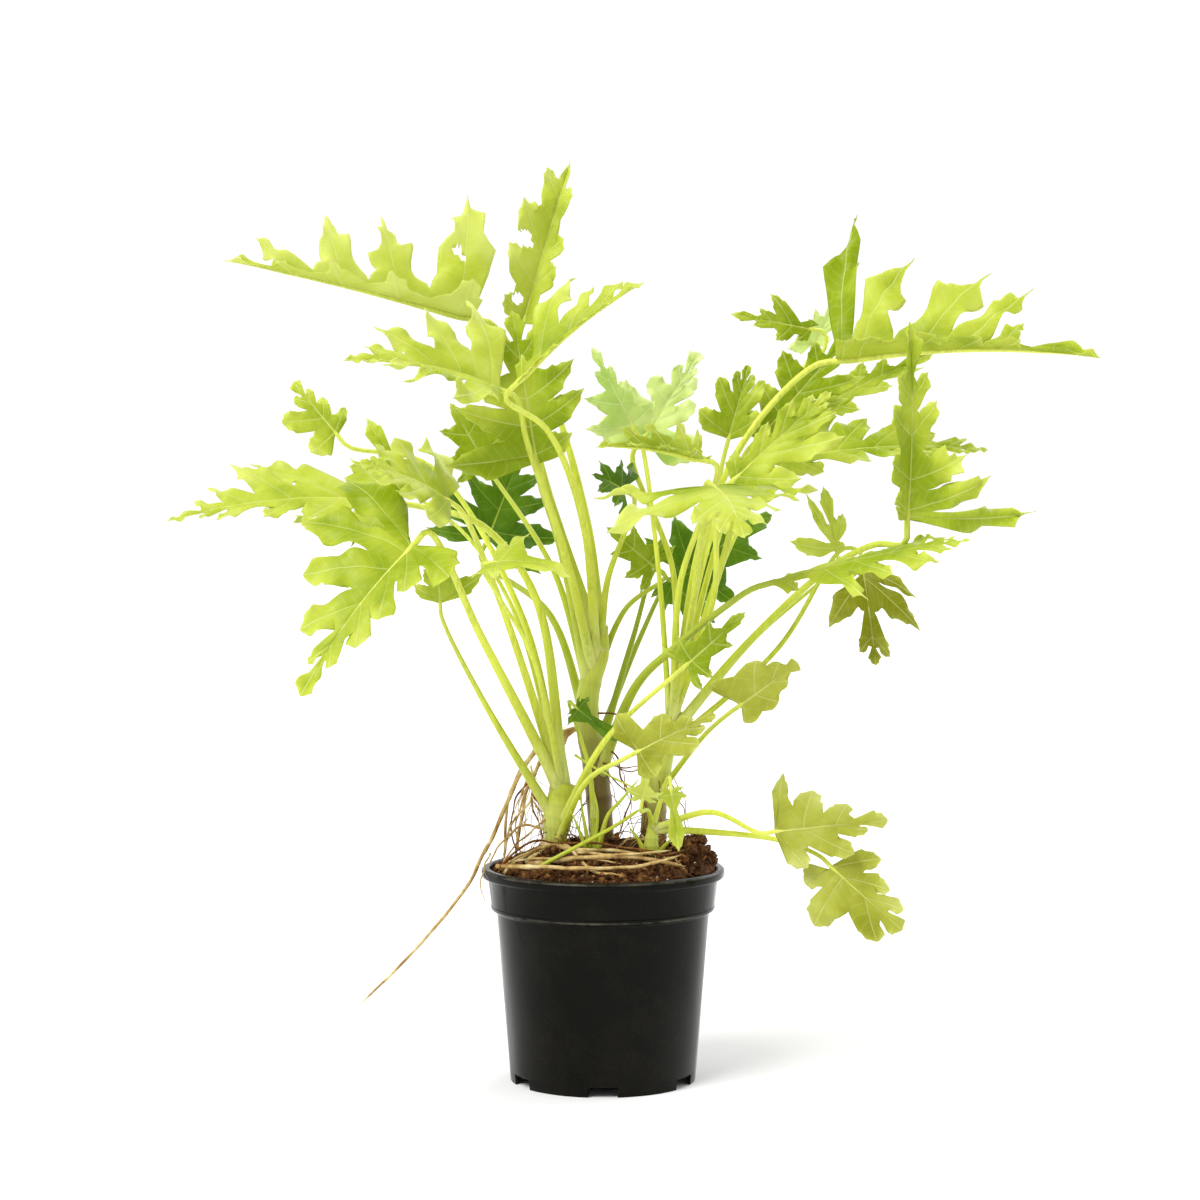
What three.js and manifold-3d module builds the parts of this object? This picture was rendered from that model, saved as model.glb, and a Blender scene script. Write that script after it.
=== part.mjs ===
// A potted split-leaf philodendron with golden-green foliage: a nursery pot, its soil,
// five crowns with their petioles, the blades, and the roots on the soil and over the rim.
// Millimetres, +Z up. The origin lies on the floor under the middle of the pot.
import * as THREE from "three";
import { mergeVertices } from "three/addons/utils/BufferGeometryUtils.js";
import Module from "manifold-3d";

const wasm = await Module();
wasm.setup();

// Driving dimensions

const gap = 0.3; // between pieces that rest on each other
const stemRoom = 0.4; // round a stem, in the soil and in the root collar
const bladeThickness = 0.8;
const midribDepth = 1.4; // how far the midrib stands out under the blade at its base
const petioleGap = 0.6; // between a petiole's end and its blade
const lobeRoom = 0.46; // of the way to the next lobe's vein
const petioleSides = 5;
const toothedReach = 0.3; // of the blade's length, from which a lobe has a side tooth

const pot = {
  height: 184,
  footRadius: 80,
  bodyTopRadius: 92,
  collarFootRadius: 96.5,
  collarTopRadius: 99.5,
  collarHeight: 36,
  ledgeDrop: 1.5,
  lipRadius: 105,
  lipDepth: 8,
  wall: 1.8,
  floorLift: 6,
  floorThickness: 2,
  padRadius: 16,
  notchCount: 6,
  notchWidth: 25,
  notchHeight: 8.6,
  notchReach: 20,
  segments: 28,
};

const soil = {
  edgeLevel: 178,
  moundHeight: 24,
  moundMiddle: [2, 2],
  moundSpread: 80,
  ridgeHeight: 20,
  ridgeMiddle: [80, 8],
  ridgeSpread: [15, 34],
  lumpHeight: 1.1,
  rings: [16, 34, 52, 70, 86],
};

// Crowns: the axis of each short stem from the soil up, with its radius at each point, and how
// thick the feet of its petioles are against the usual.
const crowns = {
  crown_left: {
    axis: [[-42, 0, 168], [-42, 0, 192], [-41, 0, 208], [-39, 0, 226], [-35, 0, 248], [-33, 0, 256]],
    radii: [4.5, 6, 9, 12.5, 13, 9],
    feet: 1,
  },
  crown_centre: {
    axis: [[2, 42, 160], [-6, 41, 260], [-14, 40, 311], [-11, 39, 340], [-3, 38, 364], [-2, 37, 390]],
    radii: [12, 11, 11.5, 11, 9.5, 6.5],
    feet: 1,
  },
  crown_right: {
    axis: [[45, 15, 160], [45, 14, 240], [54, 12, 285], [62, 10, 318]],
    radii: [10.5, 11.5, 10, 7],
    feet: 0.72,
  },
  crown_front: {
    axis: [[-8, -22, 165], [-8, -22, 212], [-8, -22, 228]],
    radii: [3.5, 3.8, 2.8],
    feet: 0.8,
  },
  crown_shoot: {
    axis: [[41, -30, 165], [41, -30, 206], [42, -31, 218], [43, -32, 226]],
    radii: [5.5, 7, 6.5, 4],
    feet: 0.85,
  },
};

// Roots: each strand's points and its radius at either end. Points without a height lie on the
// soil. The collar is the woody ring at the foot of the left crown that the mat grows from.
const collar = { axis: [[-42, 0, 194], [-42, 0, 201], [-41, 0, 206]], radii: [12, 13.5, 11] };
const roots = {
  root_mat: {
    strands: [
      { through: [[-42, -6], [-64, -36], [-20, -60], [30, -58], [70, -46]], thick: [2.6, 1.6] },
      { through: [[-42, -8], [-22, -40], [12, -44], [34, -48]], thick: [2.2, 1.4] },
      { through: [[-46, 0], [-66, -14], [-80, -34], [-84, -42]], thick: [2, 1.3] },
      { through: [[-42, 4], [-62, 26], [-70, 52], [-60, 70]], thick: [2.2, 1.3] },
      { through: [[-36, -6], [-30, -28], [-6, -76], [14, -84]], thick: [1.8, 1.2] },
    ],
  },
  root_aerial: {
    strands: [
      {
        through: [[-12, 42, 302], [-40, 40, 294], [-66, 32, 272], [-92, 12, 216], [-106, -4, 190],
          [-116, -12, 170], [-158, -22, 118], [-212, -30, 65]],
        thick: [2.4, 0.9],
      },
      { through: [[-24, 41, 299], [-46, 44, 282], [-66, 52, 246], [-78, 60, 184]], thick: [2.2, 1.4] },
      { through: [[-30, 41, 297], [-42, 49, 268], [-48, 56, 232], [-50, 60, 186]], thick: [2, 1.3] },
      { through: [[-38, 40, 294], [-60, 48, 280], [-82, 40, 240], [-86, 34, 186]], thick: [1.8, 1.2] },
    ],
  },
};

// What a blade has unless its own entry says otherwise. Angles are in degrees, and sizes are
// shares of the blade's length.
// at, tip: the two ends of the midrib. face: which way the upper side looks.
// droop: how far the midrib turns from base to tip. fold: how far each half is raised about it.
// pairs: lobes on each side, the basal lobe not counted. wide, base: length of the longest side
// lobe and of the basal lobe. back: angle between the midrib and the basal lobe.
// fat: half width of a lobe over its length. cut: depth of the bays between lobes.
// A blade whose lobes are listed has roots: where they leave the midrib, left and right: each
// lobe's [angle, reach, half width], end: [root, half width] of the tip, and cuts: the depth of
// the bays on the left and on the right.
// curl: how far the lobes bend down. wave: height of the ripple. shape: the lobes' profile.
// stem, from: the crown and the share of its axis where the petiole starts.
// via: where the petiole passes. thick: its radius at its foot and at the blade.
const common = {
  face: [0, -1, 0],
  droop: 25,
  fold: 12,
  pairs: 2,
  wide: 0.42,
  base: 0.4,
  back: 108,
  cut: 0.5,
  fat: 0.24,
  curl: 0.25,
  wave: 0.012,
  shape: "plain",
  from: 0.9,
  thick: [4, 1.9],
};
const grown = { pairs: 4, cut: 0.68, fat: 0.165, shape: "toothed", thick: [5.6, 2.6] };
const middling = { pairs: 3, cut: 0.62, fat: 0.195, thick: [4.8, 2.3] };
const small = { pairs: 1, thick: [3.2, 1.5] };

const leaves = {
  // The tall leaves of the centre crown
  leaf_top_left: {
    ...grown, at: [-113, 20, 656], tip: [-324, -10, 704], face: [-0.1, -0.5, 1], fold: 60, droop: 8,
    wide: 0.5, stem: "crown_centre", from: 0.9, via: [[-43, 33, 488]],
    thick: [6.8, 2.7],
    roots: [0.06, 0.3, 0.53, 0.73],
    left: [[97, 0.25, 0.07], [75, 0.18, 0.045], [70, 0.15, 0.04], [45, 0.1, 0.025]],
    right: [[85, 0.5, 0.13], [72, 0.33, 0.08], [70, 0.29, 0.07], [42, 0.2, 0.035]],
    cuts: [0.7, 0.82], end: [0.82, 0.03],
  },
  leaf_crest: {
    ...middling, at: [-70, 60, 655], tip: [-29, 84, 799], fold: 34, wide: 0.28,
    cut: 0.4, wave: 0.03, stem: "crown_centre", from: 0.98, via: [[-14, 46, 480], [-46, 58, 591]],
    roots: [0.03, 0.23, 0.42, 0.75],
    left: [[66, 0.2, 0.09], [62, 0.3, 0.1], [50, 0.34, 0.13], [52, 0.2, 0.08]],
    right: [[60, 0.12, 0.09], [50, 0.17, 0.1], [54, 0.15, 0.12], [50, 0.1, 0.08]],
    end: [0.8, 0.03],
  },
  leaf_centre: {
    ...middling, at: [-56, -30, 531], tip: [-77, -30, 660], face: [0.1, -1, 0.1], wide: 0.52,
    droop: 12, stem: "crown_centre", from: 0.76, via: [[-38, 4, 462]],
    roots: [0.06, 0.24, 0.42, 0.68],
    left: [[92, 0.6, 0.13], [76, 0.52, 0.1], [72, 0.42, 0.09], [38, 0.24, 0.08]],
    right: [[76, 0.28, 0.09], [71, 0.43, 0.1], [68, 0.4, 0.09], [45, 0.25, 0.08]],
    end: [0.78, 0.09],
  },
  leaf_sweep_right: {
    ...middling, at: [-70, -95, 597], tip: [34, -105, 678], face: [-0.2, -0.5, 1], fold: 22,
    wide: 0.34, stem: "crown_centre", from: 0.85, via: [[-17, -16, 482], [-47, -64, 559]],
    roots: [0.04, 0.2, 0.44, 0.66],
    left: [[60, 0.16, 0.05], [52, 0.66, 0.08], [38, 0.32, 0.05], [30, 0.24, 0.045]],
    right: [[56, 0.16, 0.05], [42, 0.2, 0.05], [34, 0.18, 0.05], [28, 0.14, 0.04]],
    end: [0.78, 0.045],
  },
  leaf_sweep_left: {
    ...middling, at: [-86, -75, 592], tip: [-212, -110, 614], face: [0.1, -0.7, 1], fold: 28,
    wide: 0.46, droop: 35, stem: "crown_centre", from: 0.82,
    via: [[-34, -27, 460], [-64, -58, 550]],
    roots: [0.05, 0.27, 0.42, 0.64],
    left: [[70, 0.85, 0.15], [58, 0.64, 0.1], [44, 0.47, 0.08], [30, 0.27, 0.05]],
    right: [[82, 0.7, 0.12], [65, 0.5, 0.1], [36, 0.46, 0.08], [28, 0.26, 0.05]],
    end: [0.76, 0.06],
  },
  leaf_behind_left: {
    at: [-106, 80, 535], tip: [-136, 84, 586], wide: 0.6, base: 0.6, stem: "crown_centre",
    from: 0.75, via: [[-44, 54, 439]],
  },
  leaf_dark_left: {
    ...middling, at: [-104, 110, 463], tip: [-72, 130, 547], wide: 0.66, base: 0.66, droop: 10,
    stem: "crown_centre", from: 0.6, via: [[-48, 75, 399]],
  },
  leaf_mint: {
    ...middling, at: [35, 60, 553], tip: [86, 84, 630], wide: 0.55, droop: 15,
    stem: "crown_right", from: 0.96, via: [[61, 46, 439]],
    roots: [0.05, 0.2, 0.42, 0.66],
    left: [[120, 0.46, 0.14], [84, 0.5, 0.08], [78, 0.28, 0.1], [45, 0.16, 0.08]],
    right: [[82, 0.52, 0.17], [39, 0.42, 0.11], [20, 0.37, 0.08], [17, 0.2, 0.06]],
    shape: "blunt", end: [0.7, 0.13],
  },
  leaf_mint_left: {
    at: [27, 24, 562], tip: [-10, 10, 632], wide: 0.42, stem: "crown_right", from: 0.9,
    via: [[48, 17, 440]],
    roots: [0.05, 0.3, 0.58],
    left: [[72, 0.52, 0.1], [58, 0.42, 0.09], [34, 0.2, 0.07]],
    right: [[75, 0.36, 0.12], [42, 0.28, 0.08], [32, 0.18, 0.06]],
  },

  // The leaves that arch out to the left
  leaf_far_left: {
    ...grown, at: [-176, 10, 497], tip: [-367, -50, 482], face: [0.05, -0.7, 1], fold: 8,
    wide: 0.34, droop: 30, stem: "crown_left", from: 0.95,
    via: [[-58, -1, 416], [-104, 4, 478]],
    roots: [0.03, 0.25, 0.47, 0.66, 0.8],
    left: [[58, 0.48, 0.13], [45, 0.34, 0.08], [47, 0.2, 0.06], [35, 0.17, 0.04], [31, 0.08, 0.02]],
    right: [[70, 0.3, 0.12], [43, 0.44, 0.12], [56, 0.34, 0.08], [50, 0.2, 0.045], [56, 0.11, 0.02]],
    end: [0.84, 0.025],
  },
  leaf_left_low: {
    ...grown, at: [-154, -120, 464], tip: [-240, -185, 345], face: [-0.45, -0.9, 0.15], fold: 12,
    wide: 0.6, droop: 30, stem: "crown_left",
    from: 0.9, via: [[-66, -24, 311], [-103, -64, 388]],
    roots: [0.02, 0.06, 0.2, 0.44, 0.7],
    left: [[78, 0.36, 0.14], [41, 0.29, 0.12], [33, 0.33, 0.1], [34, 0.27, 0.08], [37, 0.14, 0.05]],
    right: [[115, 0.62, 0.15], [87, 0.62, 0.11], [62, 0.44, 0.1], [41, 0.33, 0.08], [24, 0.15, 0.035]],
    cuts: [0.4, 0.66], shape: "blunt", end: [0.74, 0.07],
  },
  leaf_left_middle: {
    ...middling, at: [-128, -70, 499], tip: [-198, -120, 530], face: [0.1, -0.7, 0.8], wide: 0.5,
    droop: 30, stem: "crown_left", from: 0.92, via: [[-88, -32, 416]],
    roots: [0.05, 0.3, 0.5, 0.72],
    left: [[62, 0.75, 0.17], [50, 0.6, 0.13], [40, 0.5, 0.1], [32, 0.25, 0.07]],
    right: [[100, 0.8, 0.22], [64, 0.55, 0.15], [42, 0.42, 0.11], [32, 0.2, 0.07]],
    shape: "blunt", end: [0.76, 0.12],
  },
  leaf_left_upper: {
    at: [-232, 40, 557], tip: [-271, 50, 603], wide: 0.55, stem: "crown_left",
    from: 0.9, via: [[-71, 37, 399], [-153, 61, 530]],
    roots: [0.05, 0.3, 0.6],
    left: [[100, 0.45, 0.2], [60, 0.6, 0.17], [42, 0.24, 0.1]],
    right: [[68, 0.38, 0.08], [46, 0.3, 0.1], [32, 0.2, 0.08]],
    shape: "blunt", end: [0.66, 0.12],
  },
  leaf_left_small: {
    at: [-137, -50, 414], tip: [-140, -56, 463], wide: 0.5,
    stem: "crown_left", from: 0.6, via: [[-103, -26, 331]], thick: [5, 1.7],
    roots: [0.05, 0.3, 0.62],
    left: [[62, 0.55, 0.16], [45, 0.39, 0.14], [32, 0.22, 0.1]],
    right: [[70, 0.9, 0.17], [32, 0.66, 0.13], [24, 0.26, 0.08]],
  },
  leaf_left_narrow: {
    ...small, at: [-179, 96, 518], tip: [-212, 104, 573], wide: 0.3, base: 0.3, stem: "crown_left",
    from: 0.92, via: [[-77, 53, 399], [-122, 75, 469]],
  },
  leaf_hood: {
    ...small, at: [-91, -100, 449], tip: [-26, -130, 438], face: [0.1, -0.6, 0.8], wide: 0.5,
    base: 0.4, droop: 40, stem: "crown_left", from: 0.92, via: [[-60, -60, 371]],
  },

  // The leaves of the right crown
  leaf_right_long: {
    ...grown, at: [201, 0, 619], tip: [417, -50, 619], face: [0, -0.45, 1], fold: 55,
    wide: 0.44, droop: 20, stem: "crown_right", from: 0.95,
    via: [[88, -15, 480], [128, -21, 562]],
    roots: [0.02, 0.08, 0.3, 0.47, 0.62],
    left: [[88, 0.68, 0.08], [70, 0.48, 0.085], [53, 0.42, 0.085], [48, 0.36, 0.06], [58, 0.14, 0.04]],
    right: [[78, 0.16, 0.06], [66, 0.16, 0.1], [52, 0.14, 0.09], [46, 0.12, 0.08], [40, 0.1, 0.06]],
    cuts: [0.84, 0.3], end: [0.78, 0.05],
  },
  leaf_right_edge: {
    ...grown, at: [249, -110, 484], tip: [251, -100, 647], face: [0.45, -0.85, 0.1], fold: 26,
    wide: 0.44, droop: 15, stem: "crown_right",
    from: 0.85, via: [[119, -19, 373], [188, -47, 441], [225, -76, 463]],
    roots: [0.02, 0.05, 0.2, 0.42, 0.6],
    left: [[76, 0.13, 0.06], [74, 0.15, 0.11], [72, 0.19, 0.12], [66, 0.22, 0.12], [56, 0.17, 0.09]],
    right: [[92, 0.72, 0.08], [75, 0.46, 0.1], [72, 0.32, 0.09], [40, 0.22, 0.07], [36, 0.17, 0.055]],
    cuts: [0.1, 0.74], end: [0.74, 0.06],
  },
  leaf_fan_right: {
    ...middling, at: [109, -50, 516], tip: [192, -50, 591], face: [0.2, -0.9, 0.5], wide: 0.42,
    droop: 20, stem: "crown_right", from: 0.9, via: [[94, -37, 420]],
    roots: [0.05, 0.28, 0.48, 0.74],
    left: [[60, 0.2, 0.07], [39, 0.26, 0.07], [32, 0.3, 0.08], [31, 0.16, 0.06]],
    right: [[52, 0.5, 0.14], [36, 0.66, 0.13], [23, 0.46, 0.1], [18, 0.2, 0.05]],
    end: [0.8, 0.06],
  },
  leaf_butterfly: {
    ...middling, at: [89, -130, 512], tip: [111, -205, 471], face: [0.1, -0.62, 0.9], fold: -6,
    curl: 0.05, wide: 0.9, droop: 40, stem: "crown_right", from: 0.93,
    via: [[76, -71, 421], [81, -107, 482]],
    roots: [0.03, 0.14, 0.43, 0.64],
    left: [[106, 1.05, 0.14], [84, 0.74, 0.17], [82, 0.49, 0.15], [61, 0.32, 0.12]],
    right: [[120, 1.08, 0.09], [75, 1.2, 0.24], [59, 0.53, 0.16], [45, 0.33, 0.12]],
    shape: "plain", end: [0.74, 0.14],
  },
  leaf_folded: {
    ...middling, at: [81, -56, 534], tip: [-6, -84, 544], face: [0.1, -0.5, 1], fold: 35,
    wide: 0.42, base: 0.3, back: 92, stem: "crown_right", from: 0.97, via: [[66, -20, 430]],
  },
  leaf_shade: {
    at: [18, 30, 508], tip: [-10, 16, 522], face: [0, -0.8, 0.6], wide: 0.8, base: 1.1,
    stem: "crown_centre", from: 0.9, via: [[4, 26, 430]],
  },
  leaf_right_upright: {
    at: [109, 24, 553], tip: [126, 30, 617], wide: 0.48, fold: 22,
    stem: "crown_right", from: 0.98, via: [[84, 17, 440]],
    roots: [0.05, 0.3, 0.6],
    left: [[75, 0.55, 0.15], [45, 0.55, 0.13], [32, 0.3, 0.08]],
    right: [[50, 0.5, 0.14], [32, 0.6, 0.12], [24, 0.3, 0.08]],
    shape: "blunt",
  },
  leaf_peak: {
    at: [184, 70, 650], tip: [112, 60, 663], wide: 0.45, stem: "crown_right",
    from: 0.88, via: [[97, 55, 480], [165, 74, 596], [194, 73, 629]],
    roots: [0.02, 0.25, 0.5],
    left: [[53, 0.22, 0.08], [58, 0.28, 0.11], [24, 0.24, 0.06]],
    right: [[95, 0.12, 0.1], [50, 0.47, 0.1], [42, 0.22, 0.06]],
    end: [0.64, 0.07],
  },
  leaf_peak_small: {
    ...small, at: [191, 110, 639], tip: [208, 116, 677], wide: 0.5,
    stem: "crown_right", from: 0.9, via: [[101, 75, 480], [163, 102, 592]],
    roots: [0.05, 0.3],
    left: [[130, 0.65, 0.2], [48, 0.5, 0.14]],
    right: [[62, 0.3, 0.15], [34, 0.64, 0.11]],
  },
  leaf_right_upper: {
    ...middling, at: [135, 40, 552], tip: [214, 50, 642], wide: 0.38, droop: 10,
    stem: "crown_right", from: 0.92, via: [[93, 30, 440]],
    roots: [0.05, 0.25, 0.45, 0.68],
    left: [[98, 0.28, 0.1], [82, 0.28, 0.09], [68, 0.34, 0.11], [58, 0.22, 0.07]],
    right: [[52, 0.36, 0.1], [43, 0.5, 0.1], [41, 0.5, 0.08], [23, 0.23, 0.05]],
    end: [0.8, 0.07],
  },
  leaf_right_shade: {
    at: [195, 90, 583], tip: [297, 110, 631], face: [-0.1, -1, 0.3], wide: 0.4,
    cut: 0.6, stem: "crown_right", from: 0.87, via: [[112, 58, 459]],
    roots: [0.05, 0.3, 0.52],
    left: [[60, 0.2, 0.07], [54, 0.22, 0.08], [56, 0.15, 0.06]],
    right: [[50, 0.26, 0.08], [30, 0.28, 0.07], [18, 0.34, 0.05]],
  },
  leaf_right_back: {
    ...grown, at: [146, -20, 532], tip: [335, 30, 543], face: [0, -0.85, 0.9], fold: 6, wide: 0.24,
    droop: 25, stem: "crown_right", from: 0.89, via: [[100, -10, 440]],
    roots: [0.08, 0.28, 0.45, 0.62, 0.8],
    left: [[55, 0.4, 0.1], [48, 0.26, 0.09], [40, 0.2, 0.06], [34, 0.18, 0.04], [30, 0.12, 0.025]],
    right: [[52, 0.16, 0.07], [44, 0.16, 0.07], [38, 0.14, 0.06], [32, 0.14, 0.05], [28, 0.1, 0.03]],
    end: [0.84, 0.03],
  },
  leaf_dark_upper: {
    at: [70, 120, 433], tip: [156, 170, 486], wide: 0.45, base: 0.4, face: [0, -1, 0.2],
    stem: "crown_centre", from: 0.5, via: [[34, 85, 379]],
  },
  leaf_dark_lower: {
    at: [58, 86, 429], tip: [101, 100, 389], wide: 0.5, base: 0.4, back: 96, stem: "crown_centre",
    from: 0.45, via: [[26, 64, 376]],
  },
  leaf_olive_back: {
    at: [45, 64, 441], tip: [3, 60, 476], wide: 0.5, base: 0.5, stem: "crown_centre", from: 0.7,
    via: [[20, 55, 404]],
  },
  leaf_right_fork: {
    ...small, at: [202, 20, 456], tip: [190, 10, 512], wide: 0.7,
    stem: "crown_right", from: 0.8, via: [[131, 17, 379]],
    roots: [0.04, 0.12],
    left: [[75, 0.72, 0.15], [21, 0.88, 0.09]],
    right: [[77, 0.16, 0.1], [28, 0.47, 0.15]],
    end: [0.42, 0.12], cuts: [0.86, 0.3],
  },
  leaf_right_level: {
    ...grown, at: [140, -90, 432], tip: [296, -150, 469], face: [-0.1, -0.45, 1], fold: -14,
    wide: 0.24, droop: 10, stem: "crown_centre", from: 0.4,
    via: [[28, -10, 340], [62, -58, 378], [103, -84, 413]],
    roots: [0.05, 0.27, 0.42, 0.6, 0.8],
    left: [[60, 0.15, 0.05], [72, 0.24, 0.05], [72, 0.31, 0.05], [61, 0.39, 0.05], [40, 0.14, 0.03]],
    right: [[50, 0.14, 0.05], [54, 0.36, 0.05], [38, 0.26, 0.06], [32, 0.3, 0.06], [26, 0.12, 0.03]],
    end: [0.84, 0.035],
  },
  leaf_hanging: {
    at: [220, -30, 444], tip: [229, -60, 361], wide: 0.55, face: [0, -1, 0.1],
    stem: "crown_right", from: 0.78, via: [[150, -18, 374], [205, -12, 458]],
    roots: [0.03, 0.13, 0.72],
    left: [[58, 0.6, 0.07], [41, 0.75, 0.12], [40, 0.26, 0.08]],
    right: [[78, 0.16, 0.08], [46, 0.62, 0.14], [52, 0.2, 0.08]],
    cuts: [0.72, 0.72], end: [0.8, 0.08],
  },
  leaf_right_low: {
    at: [113, -100, 331], tip: [159, -120, 368], wide: 0.48, cut: 0.22,
    stem: "crown_right", from: 0.5, via: [[82, -36, 296]],
    roots: [0.05, 0.28, 0.56],
    left: [[115, 0.5, 0.2], [56, 0.48, 0.24], [34, 0.3, 0.18]],
    right: [[112, 0.28, 0.18], [56, 0.33, 0.2], [35, 0.23, 0.16]],
    shape: "blunt", end: [0.66, 0.2],
  },
  leaf_front: {
    at: [27, -110, 293], tip: [92, -130, 326], wide: 0.48, cut: 0.4,
    face: [0, -1, 0.3], stem: "crown_left", from: 0.35, via: [[-14, -55, 263]],
    roots: [0.05, 0.33, 0.63],
    left: [[108, 0.47, 0.17], [67, 0.29, 0.13], [43, 0.14, 0.08]],
    right: [[84, 0.36, 0.15], [34, 0.46, 0.13], [25, 0.23, 0.08]],
    shape: "blunt",
  },
  leaf_inner: {
    at: [69, -80, 363], tip: [118, -90, 408], wide: 0.36, base: 0.36, stem: "crown_left", from: 0.5,
    via: [[4, -59, 301]],
  },
  leaf_dark_inner: {
    ...small, at: [-24, 0, 322], tip: [16, -6, 293], wide: 0.3, base: 0.2, droop: 90,
    stem: "crown_front", via: [[-12, -8, 270]],
  },

  // The young leaves near the soil
  leaf_seedling: {
    ...small, at: [33, -70, 250], tip: [37, -74, 281], wide: 0.5, base: 0.4, stem: "crown_shoot",
    via: [[38, -50, 238]],
  },
  leaf_tongue: {
    ...small, at: [57, -66, 258], tip: [63, -86, 208], wide: 0.24, base: 0.2, droop: 30,
    stem: "crown_shoot", via: [[49, -40, 246], [54, -52, 264]],
  },
  leaf_low_right: {
    at: [145, -56, 221], tip: [238, -76, 233], wide: 0.45, cut: 0.45,
    face: [0, -1, 0.15], stem: "crown_shoot", via: [[92, -44, 236]],
    roots: [0.02, 0.26, 0.55],
    left: [[82, 0.52, 0.07], [75, 0.35, 0.14], [65, 0.21, 0.11]],
    right: [[60, 0.43, 0.11], [36, 0.5, 0.11], [16, 0.28, 0.07]],
    shape: "blunt", end: [0.66, 0.1],
  },
  leaf_lowest: {
    at: [192, -62, 192], tip: [250, -78, 141], wide: 0.55, cut: 0.4,
    stem: "crown_shoot", via: [[94, -36, 218], [150, -44, 212]],
    roots: [0.02, 0.17, 0.48],
    left: [[58, 0.53, 0.13], [32, 0.51, 0.12], [29, 0.42, 0.12]],
    right: [[118, 0.34, 0.16], [85, 0.6, 0.18], [39, 0.48, 0.16]],
    shape: "blunt", end: [0.62, 0.14],
  },
};

const colours = {
  pot: 0x1d1d1b,
  soil: 0x4a2f1d,
  stem: 0xb6cf52,
  root: 0xb08a4e,
  blade: 0xc4dc55,
  shade: 0x6f9a1e,
  mint: 0xb7dd84,
  olive: 0xa9b248,
};
const bladeColour = {
  leaf_dark_left: colours.shade,
  leaf_dark_upper: colours.shade,
  leaf_dark_lower: colours.shade,
  leaf_dark_inner: colours.shade,
  leaf_shade: colours.shade,
  leaf_mint: colours.mint,
  leaf_mint_left: colours.mint,
  leaf_peak_small: colours.mint,
  leaf_hanging: colours.olive,
  leaf_right_low: colours.olive,
  leaf_low_right: colours.olive,
  leaf_lowest: colours.olive,
};

// Small helpers

const radians = THREE.MathUtils.degToRad;
const vector = (list) => new THREE.Vector3(...list);

// A repeatable number from -1 to 1 for each pair of whole numbers.
function wobble(seed, turn) {
  const s = Math.sin(seed * 12.9898 + turn * 78.233) * 437.585;
  return 2 * (s - Math.floor(s)) - 1;
}

function solidOf(geometry) {
  const bare = geometry.clone();
  bare.deleteAttribute("normal");
  bare.deleteAttribute("uv");
  const merged = mergeVertices(bare, 1e-4);
  const mesh = new wasm.Mesh({
    numProp: 3,
    vertProperties: new Float32Array(merged.attributes.position.array),
    triVerts: new Uint32Array(merged.index.array),
  });
  return new wasm.Manifold(mesh);
}

function geometryOf(solid) {
  const mesh = solid.getMesh();
  const geometry = new THREE.BufferGeometry();
  geometry.setAttribute("position", new THREE.BufferAttribute(mesh.vertProperties, 3));
  geometry.setIndex(new THREE.BufferAttribute(mesh.triVerts, 1));
  return geometry;
}

function geometryFrom(points, triangles) {
  const geometry = new THREE.BufferGeometry();
  const flat = points.flatMap((p) => [p.x, p.y, p.z]);
  geometry.setAttribute("position", new THREE.Float32BufferAttribute(flat, 3));
  geometry.setIndex(triangles.flat());
  return geometry;
}

// A closed tube whose radius changes along a curve: rings square to the curve, carried along it
// without twisting, and a flat cap at each end. With room it is the hole that such a tube needs.
function taperedTube(curve, radiusAt, sides, steps, room = 0) {
  const points = [];
  const triangles = [];
  const frames = curve.computeFrenetFrames(steps, false);
  for (let k = 0; k <= steps; k += 1) {
    const middle = curve.getPointAt(k / steps);
    const radius = radiusAt(k / steps) + room;
    if (k === 0) middle.addScaledVector(frames.tangents[k], -room);
    if (k === steps) middle.addScaledVector(frames.tangents[k], room);
    for (let j = 0; j < sides; j += 1) {
      const turn = (2 * Math.PI * j) / sides;
      const across = frames.normals[k].clone().multiplyScalar(Math.cos(turn) * radius);
      const up = frames.binormals[k].clone().multiplyScalar(Math.sin(turn) * radius);
      points.push(middle.clone().add(across).add(up));
    }
  }
  for (let k = 0; k < steps; k += 1) {
    for (let j = 0; j < sides; j += 1) {
      const a = k * sides + j;
      const b = k * sides + ((j + 1) % sides);
      triangles.push([a, b, b + sides], [a, b + sides, a + sides]);
    }
  }
  const last = steps * sides;
  for (let j = 1; j < sides - 1; j += 1) {
    triangles.push([0, j + 1, j], [last, last + j, last + j + 1]);
  }
  return geometryFrom(points, triangles);
}

const curveThrough = (points) => new THREE.CatmullRomCurve3(points, false, "centripetal");

function radiusAlong(radii) {
  return (share) => {
    const at = share * (radii.length - 1);
    const low = Math.min(Math.floor(at), radii.length - 2);
    return THREE.MathUtils.lerp(radii[low], radii[low + 1], at - low);
  };
}

// Blades

// Where a blade stands: the arc of its midrib from at to tip, and the directions across it.
function bladeFrame(leaf) {
  const at = vector(leaf.at);
  const chord = vector(leaf.tip).sub(at);
  const along = chord.clone().normalize();
  const face = vector(leaf.face);
  const up = face.addScaledVector(along, -face.dot(along)).normalize();
  const left = up.clone().cross(along);
  const turn = radians(Math.max(leaf.droop, 1));
  const bend = chord.length() / (2 * Math.sin(turn / 2));
  return { at, along, up, left, turn, bend, length: bend * turn };
}

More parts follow.
